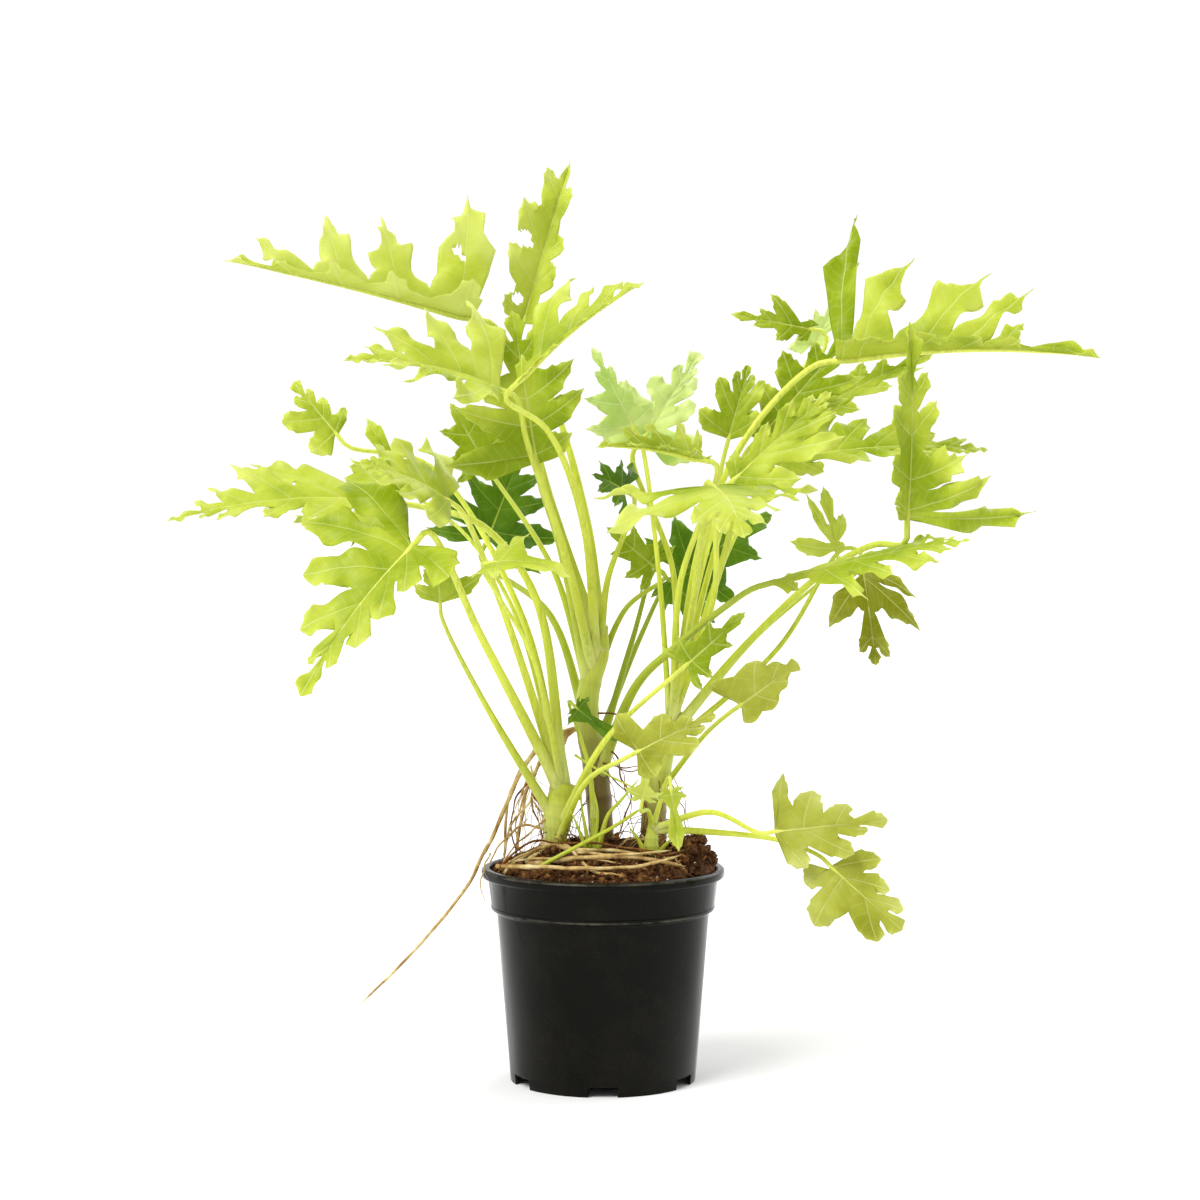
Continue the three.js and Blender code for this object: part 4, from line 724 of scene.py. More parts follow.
leaves = {
    # The tall leaves of the centre crown
    "leaf_top_left": {
        **grown, "at": [-113, 20, 656], "tip": [-324, -10, 704], "face": [-0.1, -0.5, 1], "fold": 60,
        "droop": 8, "wide": 0.5, "stem": "crown_centre", "via": [[-43, 33, 488]], "thick": [6.8, 2.7],
        "roots": [0.06, 0.3, 0.53, 0.73], "cuts": [0.7, 0.82], "end": [0.82, 0.03],
        "left": [[97, 0.25, 0.07], [75, 0.18, 0.045], [70, 0.15, 0.04], [45, 0.1, 0.025]],
        "right": [[85, 0.5, 0.115], [72, 0.33, 0.07], [70, 0.29, 0.062], [42, 0.2, 0.035]],
        "tone": 0.34, "lobeShading": {(-1, 2): 0.12, (-1, 1): -0.1},
        "holes": [([-125, 715], 4.0), ([-121, 709], 3.0)], "green": 0.3,
    },
    "leaf_crest": {
        **middling, "at": [-70, 60, 655], "tip": [-29, 84, 799], "fold": 34, "wide": 0.28, "cut": 0.4,
        "wave": 0.03, "stem": "crown_centre", "from": 0.98, "via": [[-14, 46, 480], [-46, 58, 591]],
        "roots": [0.03, 0.23, 0.42, 0.75], "end": [0.8, 0.03],
        "left": [[66, 0.2, 0.09], [62, 0.3, 0.1], [50, 0.34, 0.13], [52, 0.2, 0.08]],
        "right": [[60, 0.12, 0.09], [50, 0.17, 0.1], [54, 0.15, 0.12], [50, 0.1, 0.08]],
        "tone": 0.06, "holes": [([-68, 731], 5.0), ([-66, 724], 4.5), ([-75, 676], 5.0), ([-30, 742], 4.0)],
    },
    "leaf_centre": {
        **middling, "at": [-56, -30, 531], "tip": [-77, -30, 660], "face": [0.1, -1, 0.1], "droop": 12,
        "wide": 0.52, "stem": "crown_centre", "from": 0.76, "via": [[-38, 4, 462]],
        "roots": [0.06, 0.24, 0.42, 0.68], "end": [0.78, 0.09],
        "left": [[92, 0.6, 0.13], [76, 0.52, 0.1], [72, 0.42, 0.09], [38, 0.24, 0.08]],
        "right": [[76, 0.28, 0.09], [71, 0.43, 0.1], [68, 0.4, 0.09], [45, 0.25, 0.08]],
        "tone": -0.22, "green": 0.45,
    },
    "leaf_sweep_right": {
        **middling, "at": [-70, -95, 597], "tip": [34, -105, 678], "face": [-0.2, -0.5, 1], "fold": 22,
        "wide": 0.34, "stem": "crown_centre", "from": 0.85, "via": [[-17, -16, 482], [-47, -64, 559]],
        "roots": [0.04, 0.2, 0.44, 0.66], "end": [0.74, 0.085],
        "left": [[60, 0.16, 0.05], [52, 0.66, 0.12], [38, 0.34, 0.08], [30, 0.26, 0.07]],
        "right": [[56, 0.16, 0.05], [42, 0.2, 0.06], [34, 0.18, 0.06], [28, 0.14, 0.05]],
    },
    "leaf_sweep_left": {
        **middling, "at": [-86, -75, 592], "tip": [-212, -110, 614], "face": [0.1, -0.7, 1], "fold": 28,
        "droop": 35, "wide": 0.46, "stem": "crown_centre", "from": 0.82,
        "via": [[-34, -27, 460], [-64, -58, 550]],
        "roots": [0.05, 0.27, 0.42, 0.64], "end": [0.76, 0.06],
        "left": [[70, 0.85, 0.15], [58, 0.64, 0.1], [44, 0.47, 0.08], [30, 0.27, 0.05]],
        "right": [[82, 0.7, 0.12], [65, 0.5, 0.1], [36, 0.46, 0.08], [28, 0.26, 0.05]],
        "tone": 0.1, "lobeShading": {(-1, 0): 0.14},
    },
    "leaf_behind_left": {
        "at": [-106, 80, 535], "tip": [-136, 84, 586], "wide": 0.6, "base": 0.6, "stem": "crown_centre",
        "from": 0.75, "via": [[-44, 54, 439]],
        "tone": -0.25, "green": 0.5,
    },
    "leaf_dark_left": {
        **middling, "at": [-104, 110, 463], "tip": [-72, 130, 547], "droop": 10, "wide": 0.66, "base": 0.66,
        "stem": "crown_centre", "from": 0.6, "via": [[-48, 75, 399]],
        "finish": "shadeBlade", "green": 0.7,
    },
    "leaf_mint": {
        **middling, "at": [35, 60, 553], "tip": [86, 84, 630], "droop": 15, "wide": 0.55,
        "stem": "crown_right", "from": 0.96, "via": [[61, 46, 439]],
        "shape": "blunt", "roots": [0.05, 0.2, 0.42, 0.66], "end": [0.7, 0.13],
        "left": [[120, 0.46, 0.14], [84, 0.5, 0.08], [78, 0.28, 0.1], [45, 0.16, 0.08]],
        "right": [[82, 0.52, 0.17], [39, 0.42, 0.11], [20, 0.37, 0.08], [17, 0.2, 0.06]],
        "finish": "mintBlade",
    },
    "leaf_mint_left": {
        "at": [27, 24, 562], "tip": [-10, 10, 632], "stem": "crown_right", "via": [[48, 17, 440]],
        "roots": [0.05, 0.3, 0.58],
        "left": [[72, 0.52, 0.1], [58, 0.42, 0.09], [34, 0.2, 0.07]],
        "right": [[75, 0.36, 0.12], [42, 0.28, 0.08], [32, 0.18, 0.06]],
        "finish": "mintBlade",
    },
    # The leaves that arch out to the left
    "leaf_far_left": {
        **grown, "at": [-176, 10, 497], "tip": [-367, -50, 482], "face": [0.05, -0.7, 1], "fold": 8,
        "droop": 30, "wide": 0.34, "stem": "crown_left", "from": 0.95,
        "via": [[-58, -1, 416], [-104, 4, 478]],
        "roots": [0.03, 0.25, 0.47, 0.66, 0.8], "end": [0.84, 0.025],
        "left": [[58, 0.48, 0.13], [45, 0.34, 0.08], [47, 0.2, 0.06], [35, 0.17, 0.04], [31, 0.08, 0.02]],
        "right": [[70, 0.3, 0.12], [43, 0.44, 0.12], [56, 0.34, 0.08], [50, 0.2, 0.045], [56, 0.11, 0.02]],
        "tone": 0.1, "lobeShading": {(1, 0): -0.12},
    },
    "leaf_left_low": {
        **grown, "at": [-154, -120, 464], "tip": [-240, -185, 345], "face": [-0.45, -0.9, 0.15], "droop": 30,
        "wide": 0.6, "stem": "crown_left", "via": [[-66, -24, 311], [-103, -64, 388]],
        "shape": "blunt", "roots": [0.02, 0.06, 0.2, 0.44, 0.7], "cuts": [0.4, 0.66], "end": [0.74, 0.07],
        "left": [[78, 0.36, 0.14], [41, 0.29, 0.12], [33, 0.33, 0.1], [34, 0.27, 0.08], [37, 0.14, 0.05]],
        "right": [[115, 0.62, 0.15], [87, 0.62, 0.11], [62, 0.44, 0.1], [41, 0.33, 0.08], [24, 0.15, 0.035]],
        "tone": -0.06, "lobeShading": {(-1, 0): -0.2, (1, 0): -0.12},
    },
    "leaf_left_middle": {
        **middling, "at": [-128, -70, 499], "tip": [-198, -120, 530], "face": [0.1, -0.7, 0.8], "droop": 30,
        "wide": 0.5, "stem": "crown_left", "from": 0.92, "via": [[-88, -32, 416]],
        "shape": "blunt", "roots": [0.05, 0.3, 0.5, 0.72], "end": [0.76, 0.12],
        "left": [[62, 0.75, 0.17], [50, 0.6, 0.13], [40, 0.5, 0.1], [32, 0.25, 0.07]],
        "right": [[100, 0.8, 0.22], [64, 0.55, 0.15], [42, 0.42, 0.11], [32, 0.2, 0.07]],
    },
    "leaf_left_upper": {
        "at": [-232, 40, 557], "tip": [-271, 50, 603], "wide": 0.55, "stem": "crown_left",
        "via": [[-71, 37, 399], [-153, 61, 530]],
        "shape": "blunt", "roots": [0.05, 0.3, 0.6], "end": [0.66, 0.12],
        "left": [[100, 0.45, 0.2], [60, 0.6, 0.17], [42, 0.24, 0.1]],
        "right": [[68, 0.38, 0.08], [46, 0.3, 0.1], [32, 0.2, 0.08]],
    },
    "leaf_left_small": {
        "at": [-137, -50, 414], "tip": [-140, -56, 463], "wide": 0.5, "stem": "crown_left", "from": 0.6,
        "via": [[-103, -26, 331]], "thick": [5, 1.7],
        "roots": [0.05, 0.3, 0.62],
        "left": [[62, 0.55, 0.16], [45, 0.39, 0.14], [32, 0.22, 0.1]],
        "right": [[70, 0.9, 0.17], [32, 0.66, 0.13], [24, 0.26, 0.08]],
        "tone": -0.2,
    },
    "leaf_left_narrow": {
        **small, "at": [-179, 96, 518], "tip": [-212, 104, 573], "wide": 0.3, "base": 0.3,
        "stem": "crown_left", "from": 0.92, "via": [[-77, 53, 399], [-122, 75, 469]],
    },
    "leaf_hood": {
        **small, "at": [-91, -100, 449], "tip": [-26, -130, 438], "face": [0.1, -0.6, 0.8], "droop": 40,
        "wide": 0.5, "stem": "crown_left", "from": 0.92, "via": [[-60, -60, 371]],
    },
    # The leaves of the right crown
    "leaf_right_long": {
        **grown, "at": [201, 0, 619], "tip": [417, -50, 619], "face": [0, -0.45, 1], "fold": 55, "droop": 20,
        "wide": 0.44, "stem": "crown_right", "from": 0.95, "via": [[88, -15, 480], [128, -21, 562]],
        "roots": [0.02, 0.08, 0.3, 0.47, 0.62], "cuts": [0.84, 0.3], "end": [0.78, 0.05],
        "left": [[88, 0.68, 0.062], [70, 0.48, 0.07], [53, 0.42, 0.075], [48, 0.36, 0.055], [58, 0.14, 0.04]],
        "right": [[78, 0.16, 0.06], [66, 0.16, 0.1], [52, 0.14, 0.09], [46, 0.12, 0.08], [40, 0.1, 0.06]],
        "tone": -0.1, "lobeShading": {(1, 0): -0.42},
    },
    "leaf_right_edge": {
        **grown, "at": [249, -110, 484], "tip": [251, -100, 647], "face": [0.45, -0.85, 0.1], "fold": 26,
        "droop": 15, "wide": 0.44, "stem": "crown_right", "from": 0.85,
        "via": [[119, -19, 373], [188, -47, 441], [225, -76, 463]],
        "roots": [0.02, 0.05, 0.2, 0.42, 0.6], "cuts": [0.1, 0.74], "end": [0.74, 0.06],
        "left": [[76, 0.13, 0.06], [74, 0.15, 0.11], [72, 0.19, 0.12], [66, 0.22, 0.12], [56, 0.17, 0.09]],
        "right": [[92, 0.72, 0.08], [75, 0.46, 0.1], [72, 0.32, 0.09], [40, 0.22, 0.07], [36, 0.17, 0.055]],
        "tone": -0.16, "lobeShading": {(-1, 1): -0.12}, "green": 0.4,
    },
    "leaf_fan_right": {
        **middling, "at": [109, -50, 516], "tip": [192, -50, 591], "face": [0.2, -0.9, 0.5], "droop": 20,
        "stem": "crown_right", "via": [[94, -37, 420]],
        "roots": [0.05, 0.28, 0.48, 0.74], "end": [0.8, 0.06],
        "left": [[60, 0.2, 0.07], [39, 0.26, 0.07], [32, 0.3, 0.08], [31, 0.16, 0.06]],
        "right": [[52, 0.5, 0.14], [36, 0.66, 0.13], [23, 0.46, 0.1], [18, 0.2, 0.05]],
    },
    "leaf_butterfly": {
        **middling, "at": [89, -130, 512], "tip": [111, -205, 471], "face": [0.1, -0.62, 0.9], "fold": -6,
        "droop": 40, "wide": 0.9, "curl": 0.05, "stem": "crown_right", "from": 0.93,
        "via": [[76, -71, 421], [81, -107, 482]],
        "roots": [0.03, 0.14, 0.43, 0.64], "end": [0.74, 0.14],
        "left": [[106, 1.05, 0.14], [84, 0.74, 0.17], [82, 0.49, 0.15], [61, 0.32, 0.12]],
        "right": [[120, 1.08, 0.09], [75, 1.2, 0.24], [59, 0.53, 0.16], [45, 0.33, 0.12]],
        "lobeShading": {(-1, 1): 0.14},
    },
    "leaf_folded": {
        **middling, "at": [81, -56, 534], "tip": [-6, -84, 544], "face": [0.1, -0.5, 1], "fold": 35,
        "base": 0.3, "back": 92, "stem": "crown_right", "from": 0.97, "via": [[66, -20, 430]],
    },
    "leaf_shade": {
        "at": [18, 30, 508], "tip": [-10, 16, 522], "face": [0, -0.8, 0.6], "wide": 0.8, "base": 1.1,
        "stem": "crown_centre", "via": [[4, 26, 430]],
        "finish": "shadeBlade",
    },
    "leaf_right_upright": {
        "at": [109, 24, 553], "tip": [126, 30, 617], "fold": 22, "wide": 0.48, "stem": "crown_right",
        "from": 0.98, "via": [[84, 17, 440]],
        "shape": "blunt", "roots": [0.05, 0.3, 0.6],
        "left": [[75, 0.55, 0.15], [45, 0.55, 0.13], [32, 0.3, 0.08]],
        "right": [[50, 0.5, 0.14], [32, 0.6, 0.12], [24, 0.3, 0.08]],
        "tone": -0.3,
    },
    "leaf_peak": {
        "at": [184, 70, 650], "tip": [112, 60, 663], "wide": 0.45, "stem": "crown_right", "from": 0.88,
        "via": [[97, 55, 480], [165, 74, 596], [194, 73, 629]],
        "roots": [0.02, 0.25, 0.5], "end": [0.64, 0.07],
        "left": [[53, 0.22, 0.08], [58, 0.28, 0.11], [24, 0.24, 0.06]],
        "right": [[95, 0.12, 0.1], [50, 0.47, 0.1], [42, 0.22, 0.06]],
        "tone": -0.2,
    },
    "leaf_peak_small": {
        **small, "at": [191, 110, 639], "tip": [208, 116, 677], "wide": 0.5, "stem": "crown_right",
        "via": [[101, 75, 480], [163, 102, 592]],
        "roots": [0.05, 0.3],
        "left": [[130, 0.65, 0.2], [48, 0.5, 0.14]],
        "right": [[62, 0.3, 0.15], [34, 0.64, 0.11]],
        "finish": "mintBlade",
    },
    "leaf_right_upper": {
        **middling, "at": [135, 40, 552], "tip": [214, 50, 642], "droop": 10, "wide": 0.38,
        "stem": "crown_right", "from": 0.92, "via": [[93, 30, 440]],
        "roots": [0.05, 0.25, 0.45, 0.68], "end": [0.8, 0.07],
        "left": [[98, 0.28, 0.1], [82, 0.28, 0.09], [68, 0.34, 0.11], [58, 0.22, 0.07]],
        "right": [[52, 0.36, 0.1], [43, 0.5, 0.1], [41, 0.5, 0.08], [23, 0.23, 0.05]],
        "tone": -0.25,
    },
    "leaf_right_shade": {
        "at": [195, 90, 583], "tip": [297, 110, 631], "face": [-0.1, -1, 0.3], "wide": 0.4, "cut": 0.6,
        "stem": "crown_right", "from": 0.87, "via": [[112, 58, 459]],
        "roots": [0.05, 0.3, 0.52],
        "left": [[60, 0.2, 0.07], [54, 0.22, 0.08], [56, 0.15, 0.06]],
        "right": [[50, 0.26, 0.08], [30, 0.28, 0.07], [18, 0.34, 0.05]],
        "tone": -0.15,
    },
    "leaf_right_back": {
        **grown, "at": [146, -20, 532], "tip": [335, 30, 543], "face": [0, -0.85, 0.9], "fold": 6,
        "wide": 0.24, "stem": "crown_right", "from": 0.89, "via": [[100, -10, 440]],
        "roots": [0.08, 0.28, 0.45, 0.62, 0.8], "end": [0.84, 0.03],
        "left": [[55, 0.4, 0.1], [48, 0.26, 0.09], [40, 0.2, 0.06], [34, 0.18, 0.04], [30, 0.12, 0.025]],
        "right": [[52, 0.16, 0.07], [44, 0.16, 0.07], [38, 0.14, 0.06], [32, 0.14, 0.05], [28, 0.1, 0.03]],
        "tone": -0.1,
    },
    "leaf_dark_upper": {
        "at": [70, 120, 433], "tip": [156, 170, 486], "face": [0, -1, 0.2], "wide": 0.45,
        "stem": "crown_centre", "from": 0.5, "via": [[34, 85, 379]],
        "finish": "shadeBlade", "green": 0.85,
    },
    "leaf_dark_lower": {
        "at": [58, 86, 429], "tip": [101, 100, 389], "wide": 0.5, "back": 96, "stem": "crown_centre",
        "from": 0.45, "via": [[26, 64, 376]],
        "finish": "shadeBlade", "green": 0.85,
    },
    "leaf_olive_back": {
        "at": [45, 64, 441], "tip": [3, 60, 476], "wide": 0.5, "base": 0.5, "stem": "crown_centre",
        "from": 0.7, "via": [[20, 55, 404]],
        "tone": -0.3, "green": 0.6,
    },
    "leaf_right_fork": {
        **small, "at": [202, 20, 456], "tip": [190, 10, 512], "wide": 0.7, "stem": "crown_right", "from": 0.8,
        "via": [[131, 17, 379]],
        "roots": [0.04, 0.12], "cuts": [0.86, 0.3], "end": [0.42, 0.12],
        "left": [[75, 0.72, 0.15], [21, 0.88, 0.09]],
        "right": [[77, 0.16, 0.1], [28, 0.47, 0.15]],
        "green": 0.5,
    },
    "leaf_right_level": {
        **grown, "at": [140, -90, 432], "tip": [296, -150, 469], "face": [-0.1, -0.45, 1], "fold": -14,
        "droop": 10, "wide": 0.24, "stem": "crown_centre", "from": 0.4,
        "via": [[28, -10, 340], [62, -58, 378], [103, -84, 413]],
        "roots": [0.05, 0.27, 0.42, 0.6, 0.8], "end": [0.84, 0.035],
        "left": [[60, 0.15, 0.05], [72, 0.24, 0.05], [72, 0.31, 0.05], [61, 0.39, 0.05], [40, 0.14, 0.03]],
        "right": [[50, 0.14, 0.05], [54, 0.36, 0.05], [38, 0.26, 0.06], [32, 0.3, 0.06], [26, 0.12, 0.03]],
        "green": 0.75,
    },
    "leaf_hanging": {
        "at": [220, -30, 444], "tip": [229, -60, 361], "face": [0, -1, 0.1], "wide": 0.55,
        "stem": "crown_right", "from": 0.78, "via": [[150, -18, 374], [205, -12, 458]],
        "roots": [0.03, 0.13, 0.72], "cuts": [0.72, 0.72], "end": [0.8, 0.08],
        "left": [[58, 0.6, 0.07], [41, 0.75, 0.12], [40, 0.26, 0.08]],
        "right": [[78, 0.16, 0.08], [46, 0.62, 0.14], [52, 0.2, 0.08]],
        "finish": "oliveBlade", "tone": -0.3, "green": 0.5,
    },
    "leaf_right_low": {
        "at": [113, -100, 331], "tip": [159, -120, 368], "wide": 0.48, "cut": 0.03, "stem": "crown_right",
        "from": 0.5, "via": [[82, -36, 296]],
        "shape": "entire", "roots": [0.05, 0.28, 0.56], "end": [0.66, 0.2],
        "left": [[115, 0.5, 0.2], [56, 0.48, 0.24], [34, 0.3, 0.18]],
        "right": [[112, 0.28, 0.18], [56, 0.33, 0.2], [35, 0.23, 0.16]],
        "finish": "oliveBlade", "tone": -0.04, "green": 0.45,
    },
    "leaf_front": {
        "at": [27, -110, 293], "tip": [92, -130, 326], "face": [0, -1, 0.3], "wide": 0.48, "cut": 0.4,
        "stem": "crown_left", "from": 0.35, "via": [[-14, -55, 263]],
        "shape": "blunt", "roots": [0.05, 0.33, 0.63],
        "left": [[108, 0.47, 0.17], [67, 0.29, 0.13], [43, 0.14, 0.08]],
        "right": [[84, 0.36, 0.15], [34, 0.46, 0.13], [25, 0.23, 0.08]],
        "finish": "oliveBlade",
    },
    "leaf_inner": {
        "at": [69, -80, 363], "tip": [118, -90, 408], "wide": 0.36, "base": 0.36, "stem": "crown_left",
        "from": 0.5, "via": [[4, -59, 301]],
        "tone": -0.2,
    },
    "leaf_dark_inner": {
        **small, "at": [-24, 0, 322], "tip": [16, -6, 293], "droop": 90, "wide": 0.3, "base": 0.2,
        "stem": "crown_front", "via": [[-12, -8, 270]],
        "finish": "shadeBlade",
    },
    # The young leaves near the soil
    "leaf_seedling": {
        **small, "at": [33, -70, 250], "tip": [37, -74, 281], "wide": 0.5, "stem": "crown_shoot",
        "via": [[38, -50, 238]],
        "tone": 0.1,
    },
    "leaf_tongue": {
        **small, "at": [57, -66, 258], "tip": [63, -86, 208], "droop": 30, "wide": 0.24, "base": 0.2,
        "stem": "crown_shoot", "via": [[49, -40, 246], [54, -52, 264]],
    },
    "leaf_low_right": {
        "at": [145, -56, 221], "tip": [238, -76, 233], "face": [0, -1, 0.15], "wide": 0.45, "cut": 0.45,
        "stem": "crown_shoot", "via": [[92, -44, 236]],
        "shape": "blunt", "roots": [0.02, 0.26, 0.55], "end": [0.66, 0.1],
        "left": [[82, 0.52, 0.07], [75, 0.35, 0.14], [65, 0.21, 0.11]],
        "right": [[60, 0.43, 0.11], [36, 0.5, 0.11], [16, 0.28, 0.07]],
        "finish": "oliveBlade", "tone": 0.2,
    },
    "leaf_lowest": {
        "at": [192, -62, 192], "tip": [250, -78, 141], "wide": 0.55, "cut": 0.4, "stem": "crown_shoot",
        "via": [[94, -36, 218], [150, -44, 212]],
        "shape": "blunt", "roots": [0.02, 0.17, 0.48], "end": [0.62, 0.14],
        "left": [[58, 0.53, 0.13], [32, 0.51, 0.12], [29, 0.42, 0.12]],
        "right": [[118, 0.34, 0.16], [85, 0.6, 0.18], [39, 0.48, 0.16]],
        "finish": "oliveBlade", "tone": 0.06,
    },
}

# Rows run along a lobe's vein, before and beyond its bay, and columns across it; a pack above
# one crowds them at their start and below one at their end. Thicknesses, depths, reaches and
# crumpleSize are in millimetres. tipStart: where the tip's vein begins, clear of the midrib.
bladeBuild = {
    "innerRows": 7, "innerPack": 1.35, "outerRows": 19, "outerPack": 0.92, "columns": 8, "columnPack": 1.25,
    "petioleGap": 0.6, "halfThickness": 0.28, "rimThickness": 0.16, "rimStart": 0.75,
    "midribDepth": 1.4, "midribReach": 1.6, "veinDepth": 0.55, "veinReach": 1.1, "tipStart": 8.0,
    "swing": 0.3,  # share of the way from the bay in which the edge swings out
    "room": 0.46, "bayRoom": 0.8,  # how far a lobe may reach to its neighbour and past its bay
    "toothedReach": 0.3,  # shorter lobes of a toothed leaf are plain
    "quilt": 0.06, "quiltStart": 0.12, "marginWave": 0.08, "waveCount": 2.1,
    "crumple": 0.011, "crumpleSize": 9.0,
    "paleEnd": 0.35, "tone": 0.12, "toneSpread": 0.1,  # colour: towards a lobe's end, and of all
}
# How much lobes differ from one another: their lift and tilt, the bow of their vein (its mean and
# its spread), their width, and the place and size of their teeth.
lobeSpread = {
    "lift": 0.06, "tilt": 0.3, "bow": (0.12, 0.05), "width": 0.1, "toothPlace": 0.04, "toothSize": 0.4,
}
# Kinds of lobe. neck, full: width at the root, and where it is widest. hold, close: how long it
# stays wide, and how bluntly it ends. widest: no bay lies beyond it. teeth: foot, peak, end, size.
lobeKinds = {
    "plain": {"neck": 0.78, "full": 0.5, "hold": 2.9, "close": 1.25, "widest": 0.66,
              "teeth": [(0.38, 0.6, 0.67, 0.16), (0.66, 0.82, 0.87, 0.12)]},
    "blunt": {"neck": 0.78, "full": 0.5, "hold": 4.5, "close": 0.72, "widest": 0.8,
              "teeth": [(0.4, 0.66, 0.73, 0.14), (0.72, 0.86, 0.91, 0.12)]},
    "toothed": {"neck": 0.64, "full": 0.42, "hold": 2.1, "close": 1.45, "widest": 0.6,
                "teeth": [(0.3, 0.56, 0.63, 0.5), (0.6, 0.78, 0.83, 0.34)]},
    "entire": {"neck": 0.9, "full": 0.6, "hold": 5.0, "close": 0.7, "widest": 1.0,
               "teeth": [(0.5, 0.8, 0.86, 0.06)]},
}


# Where a blade stands: an arc for its midrib, and the directions across it.
def bladeFrame(leaf):
    at = np.array(leaf["at"], float)
    chord = np.array(leaf["tip"], float) - at
    along = unit(chord)
    face = np.array(leaf["face"], float)
    up = unit(face - along * (face @ along))
    turn = math.radians(max(leaf["droop"], 1))
    bend = np.linalg.norm(chord) / (2 * math.sin(turn / 2))
    return {"at": at, "along": along, "up": up, "left": np.cross(up, along), "turn": turn, "bend": bend,
            "length": bend * turn}


# Points x along the midrib, with its direction and its upward normal at each.
def midribAt(stand, x):
    start = stand["turn"] / 2
    angle = (start - np.maximum(x, 0) / stand["bend"])[..., None]
    ahead = stand["bend"] * (math.sin(start) - np.sin(angle))
    above = stand["bend"] * (np.cos(angle) - math.cos(start))
    direction = stand["along"] * np.cos(angle) + stand["up"] * np.sin(angle)
    normal = stand["up"] * np.cos(angle) - stand["along"] * np.sin(angle)
    point = stand["at"] + stand["along"] * ahead + stand["up"] * above
    return point + direction * np.minimum(x, 0)[..., None], direction, normal


# Lifts points of the flat blade into place: out times the cosine of the fold goes across, out
# times its sine goes up, the lobes bend down with the square of out, and the edge ripples.
def placed(leaf, stand, seed, x, y, rise):
    point, _, normal = midribAt(stand, x)
    length = stand["length"]
    out, side = np.abs(y), np.sign(y)
    share = out / (leaf["wide"] * length)
    fold = math.radians(leaf["fold"])
    ripple = leaf["wave"] * length * np.sin(18 * x / length + seed + side) * share**1.5
    lift = out * math.sin(fold) + rise + ripple - leaf["curl"] * out * out / length
    return point + stand["left"] * (out * math.cos(fold) * side)[..., None] + normal * lift[..., None]


# A point on a lobe's vein, which bends a little towards the tip of the blade.
def veinAt(lobe, share):
    share = np.asarray(share, float)[..., None]
    bow = lobe["bend"] * share**2 * lobe["reach"] * math.sin(lobe["angle"])
    return np.array([lobe["root"], 0.0]) + lobe["line"] * share * lobe["reach"] + lobe["front"] * bow


# Where the lobes leave the midrib: as listed, or in even steps beyond the basal lobe.
def rootsOf(leaf):
    return leaf.get("roots") or [0.03] + [0.1 + 0.66 * i / leaf["pairs"] for i in range(leaf["pairs"])]


# One side's lobes by rule as [angle, reach, half width]: steeper and longer near the base.
def ruledLobes(leaf, seed, side):
    rows = []
    for i in range(leaf["pairs"] + 1):
        share = max(i - 1, 0) / leaf["pairs"]
        reach = leaf["base"] if i == 0 else leaf["wide"] * (1 - 0.5 * share**1.2)
        reach *= 1 + 0.1 * wobble(seed, 10 * i + side)
        angle = leaf["back"] if i == 0 else 80 - 44 * share
        half = (0.8 if i == 0 else 1) * leaf["fat"] * reach
        rows.append([angle + 5 * wobble(seed, 10 * i + side + 5), reach, half])
    return rows


# The lobes of one side from the base to the tip, as in the part's source. Each bay lies midway
# between two neighbours, not much farther out than the shorter one allows.
def lobesOf(leaf, length, seed, side):
    rows = leaf.get("left" if side > 0 else "right") or ruledLobes(leaf, seed, side)
    roots = rootsOf(leaf)
    left = 1 - roots[-1]
    end, endHalf = leaf.get("end") or [roots[-1] + 0.33 * left, 0.67 * leaf["fat"] * left]
    cut = leaf["cuts"][0 if side > 0 else 1] if "cuts" in leaf else leaf["cut"]
    lobes = []
    for i, (angle, reach, half) in enumerate([*rows, [0, 1 - end, endHalf]]):
        isTip = i == len(rows)
        short = leaf["shape"] == "toothed" and reach < bladeBuild["toothedReach"]
        kind = "plain" if short else leaf["shape"]
        angle = math.radians(angle)
        lobes.append({
            "root": length * (end if isTip else roots[i]), "angle": angle, "reach": length * reach,
            "half": length * half, "kind": kind, "isTip": isTip,
            "bayShare": min(0.9 * (1 - (leaf["cut"] if isTip else cut)), lobeKinds[kind]["widest"] - 0.1),
            "lift": 0.0 if isTip else lobeSpread["lift"] * wobble(seed, 10 * i + side + 5),
            "tilt": 0.0 if isTip else lobeSpread["tilt"] * wobble(seed, 10 * i + side),
            "bend": lobeSpread["bow"][0] + lobeSpread["bow"][1] * wobble(seed, 10 * i + side + 2),
            "line": np.array([math.cos(angle), side * math.sin(angle)]),
            "front": np.array([math.sin(angle), -side * math.cos(angle)]),
        })
    for lobe, after in zip(lobes, lobes[1:]):
        limit = 1.5 * min(lobe["bayShare"] * lobe["reach"], after["bayShare"] * after["reach"])
        near, far = (veinAt(one, min(one["bayShare"], limit / one["reach"])) for one in (lobe, after))
        lobe["frontBay"] = after["rearBay"] = (near + far) / 2
        lobe["frontFoot"] = after["rearFoot"] = (lobe["root"] + after["root"]) / 2
        lobe["next"], after["before"] = after, lobe
    lobes[-1]["rearFoot"] = lobes[-2]["frontFoot"] = lobes[-1]["root"]
    lobes[0]["rearFoot"] = 0.0
    lobes[0]["rearBay"] = np.array([0.0, side * (leaf["thick"][1] + 0.7)])
    return lobes


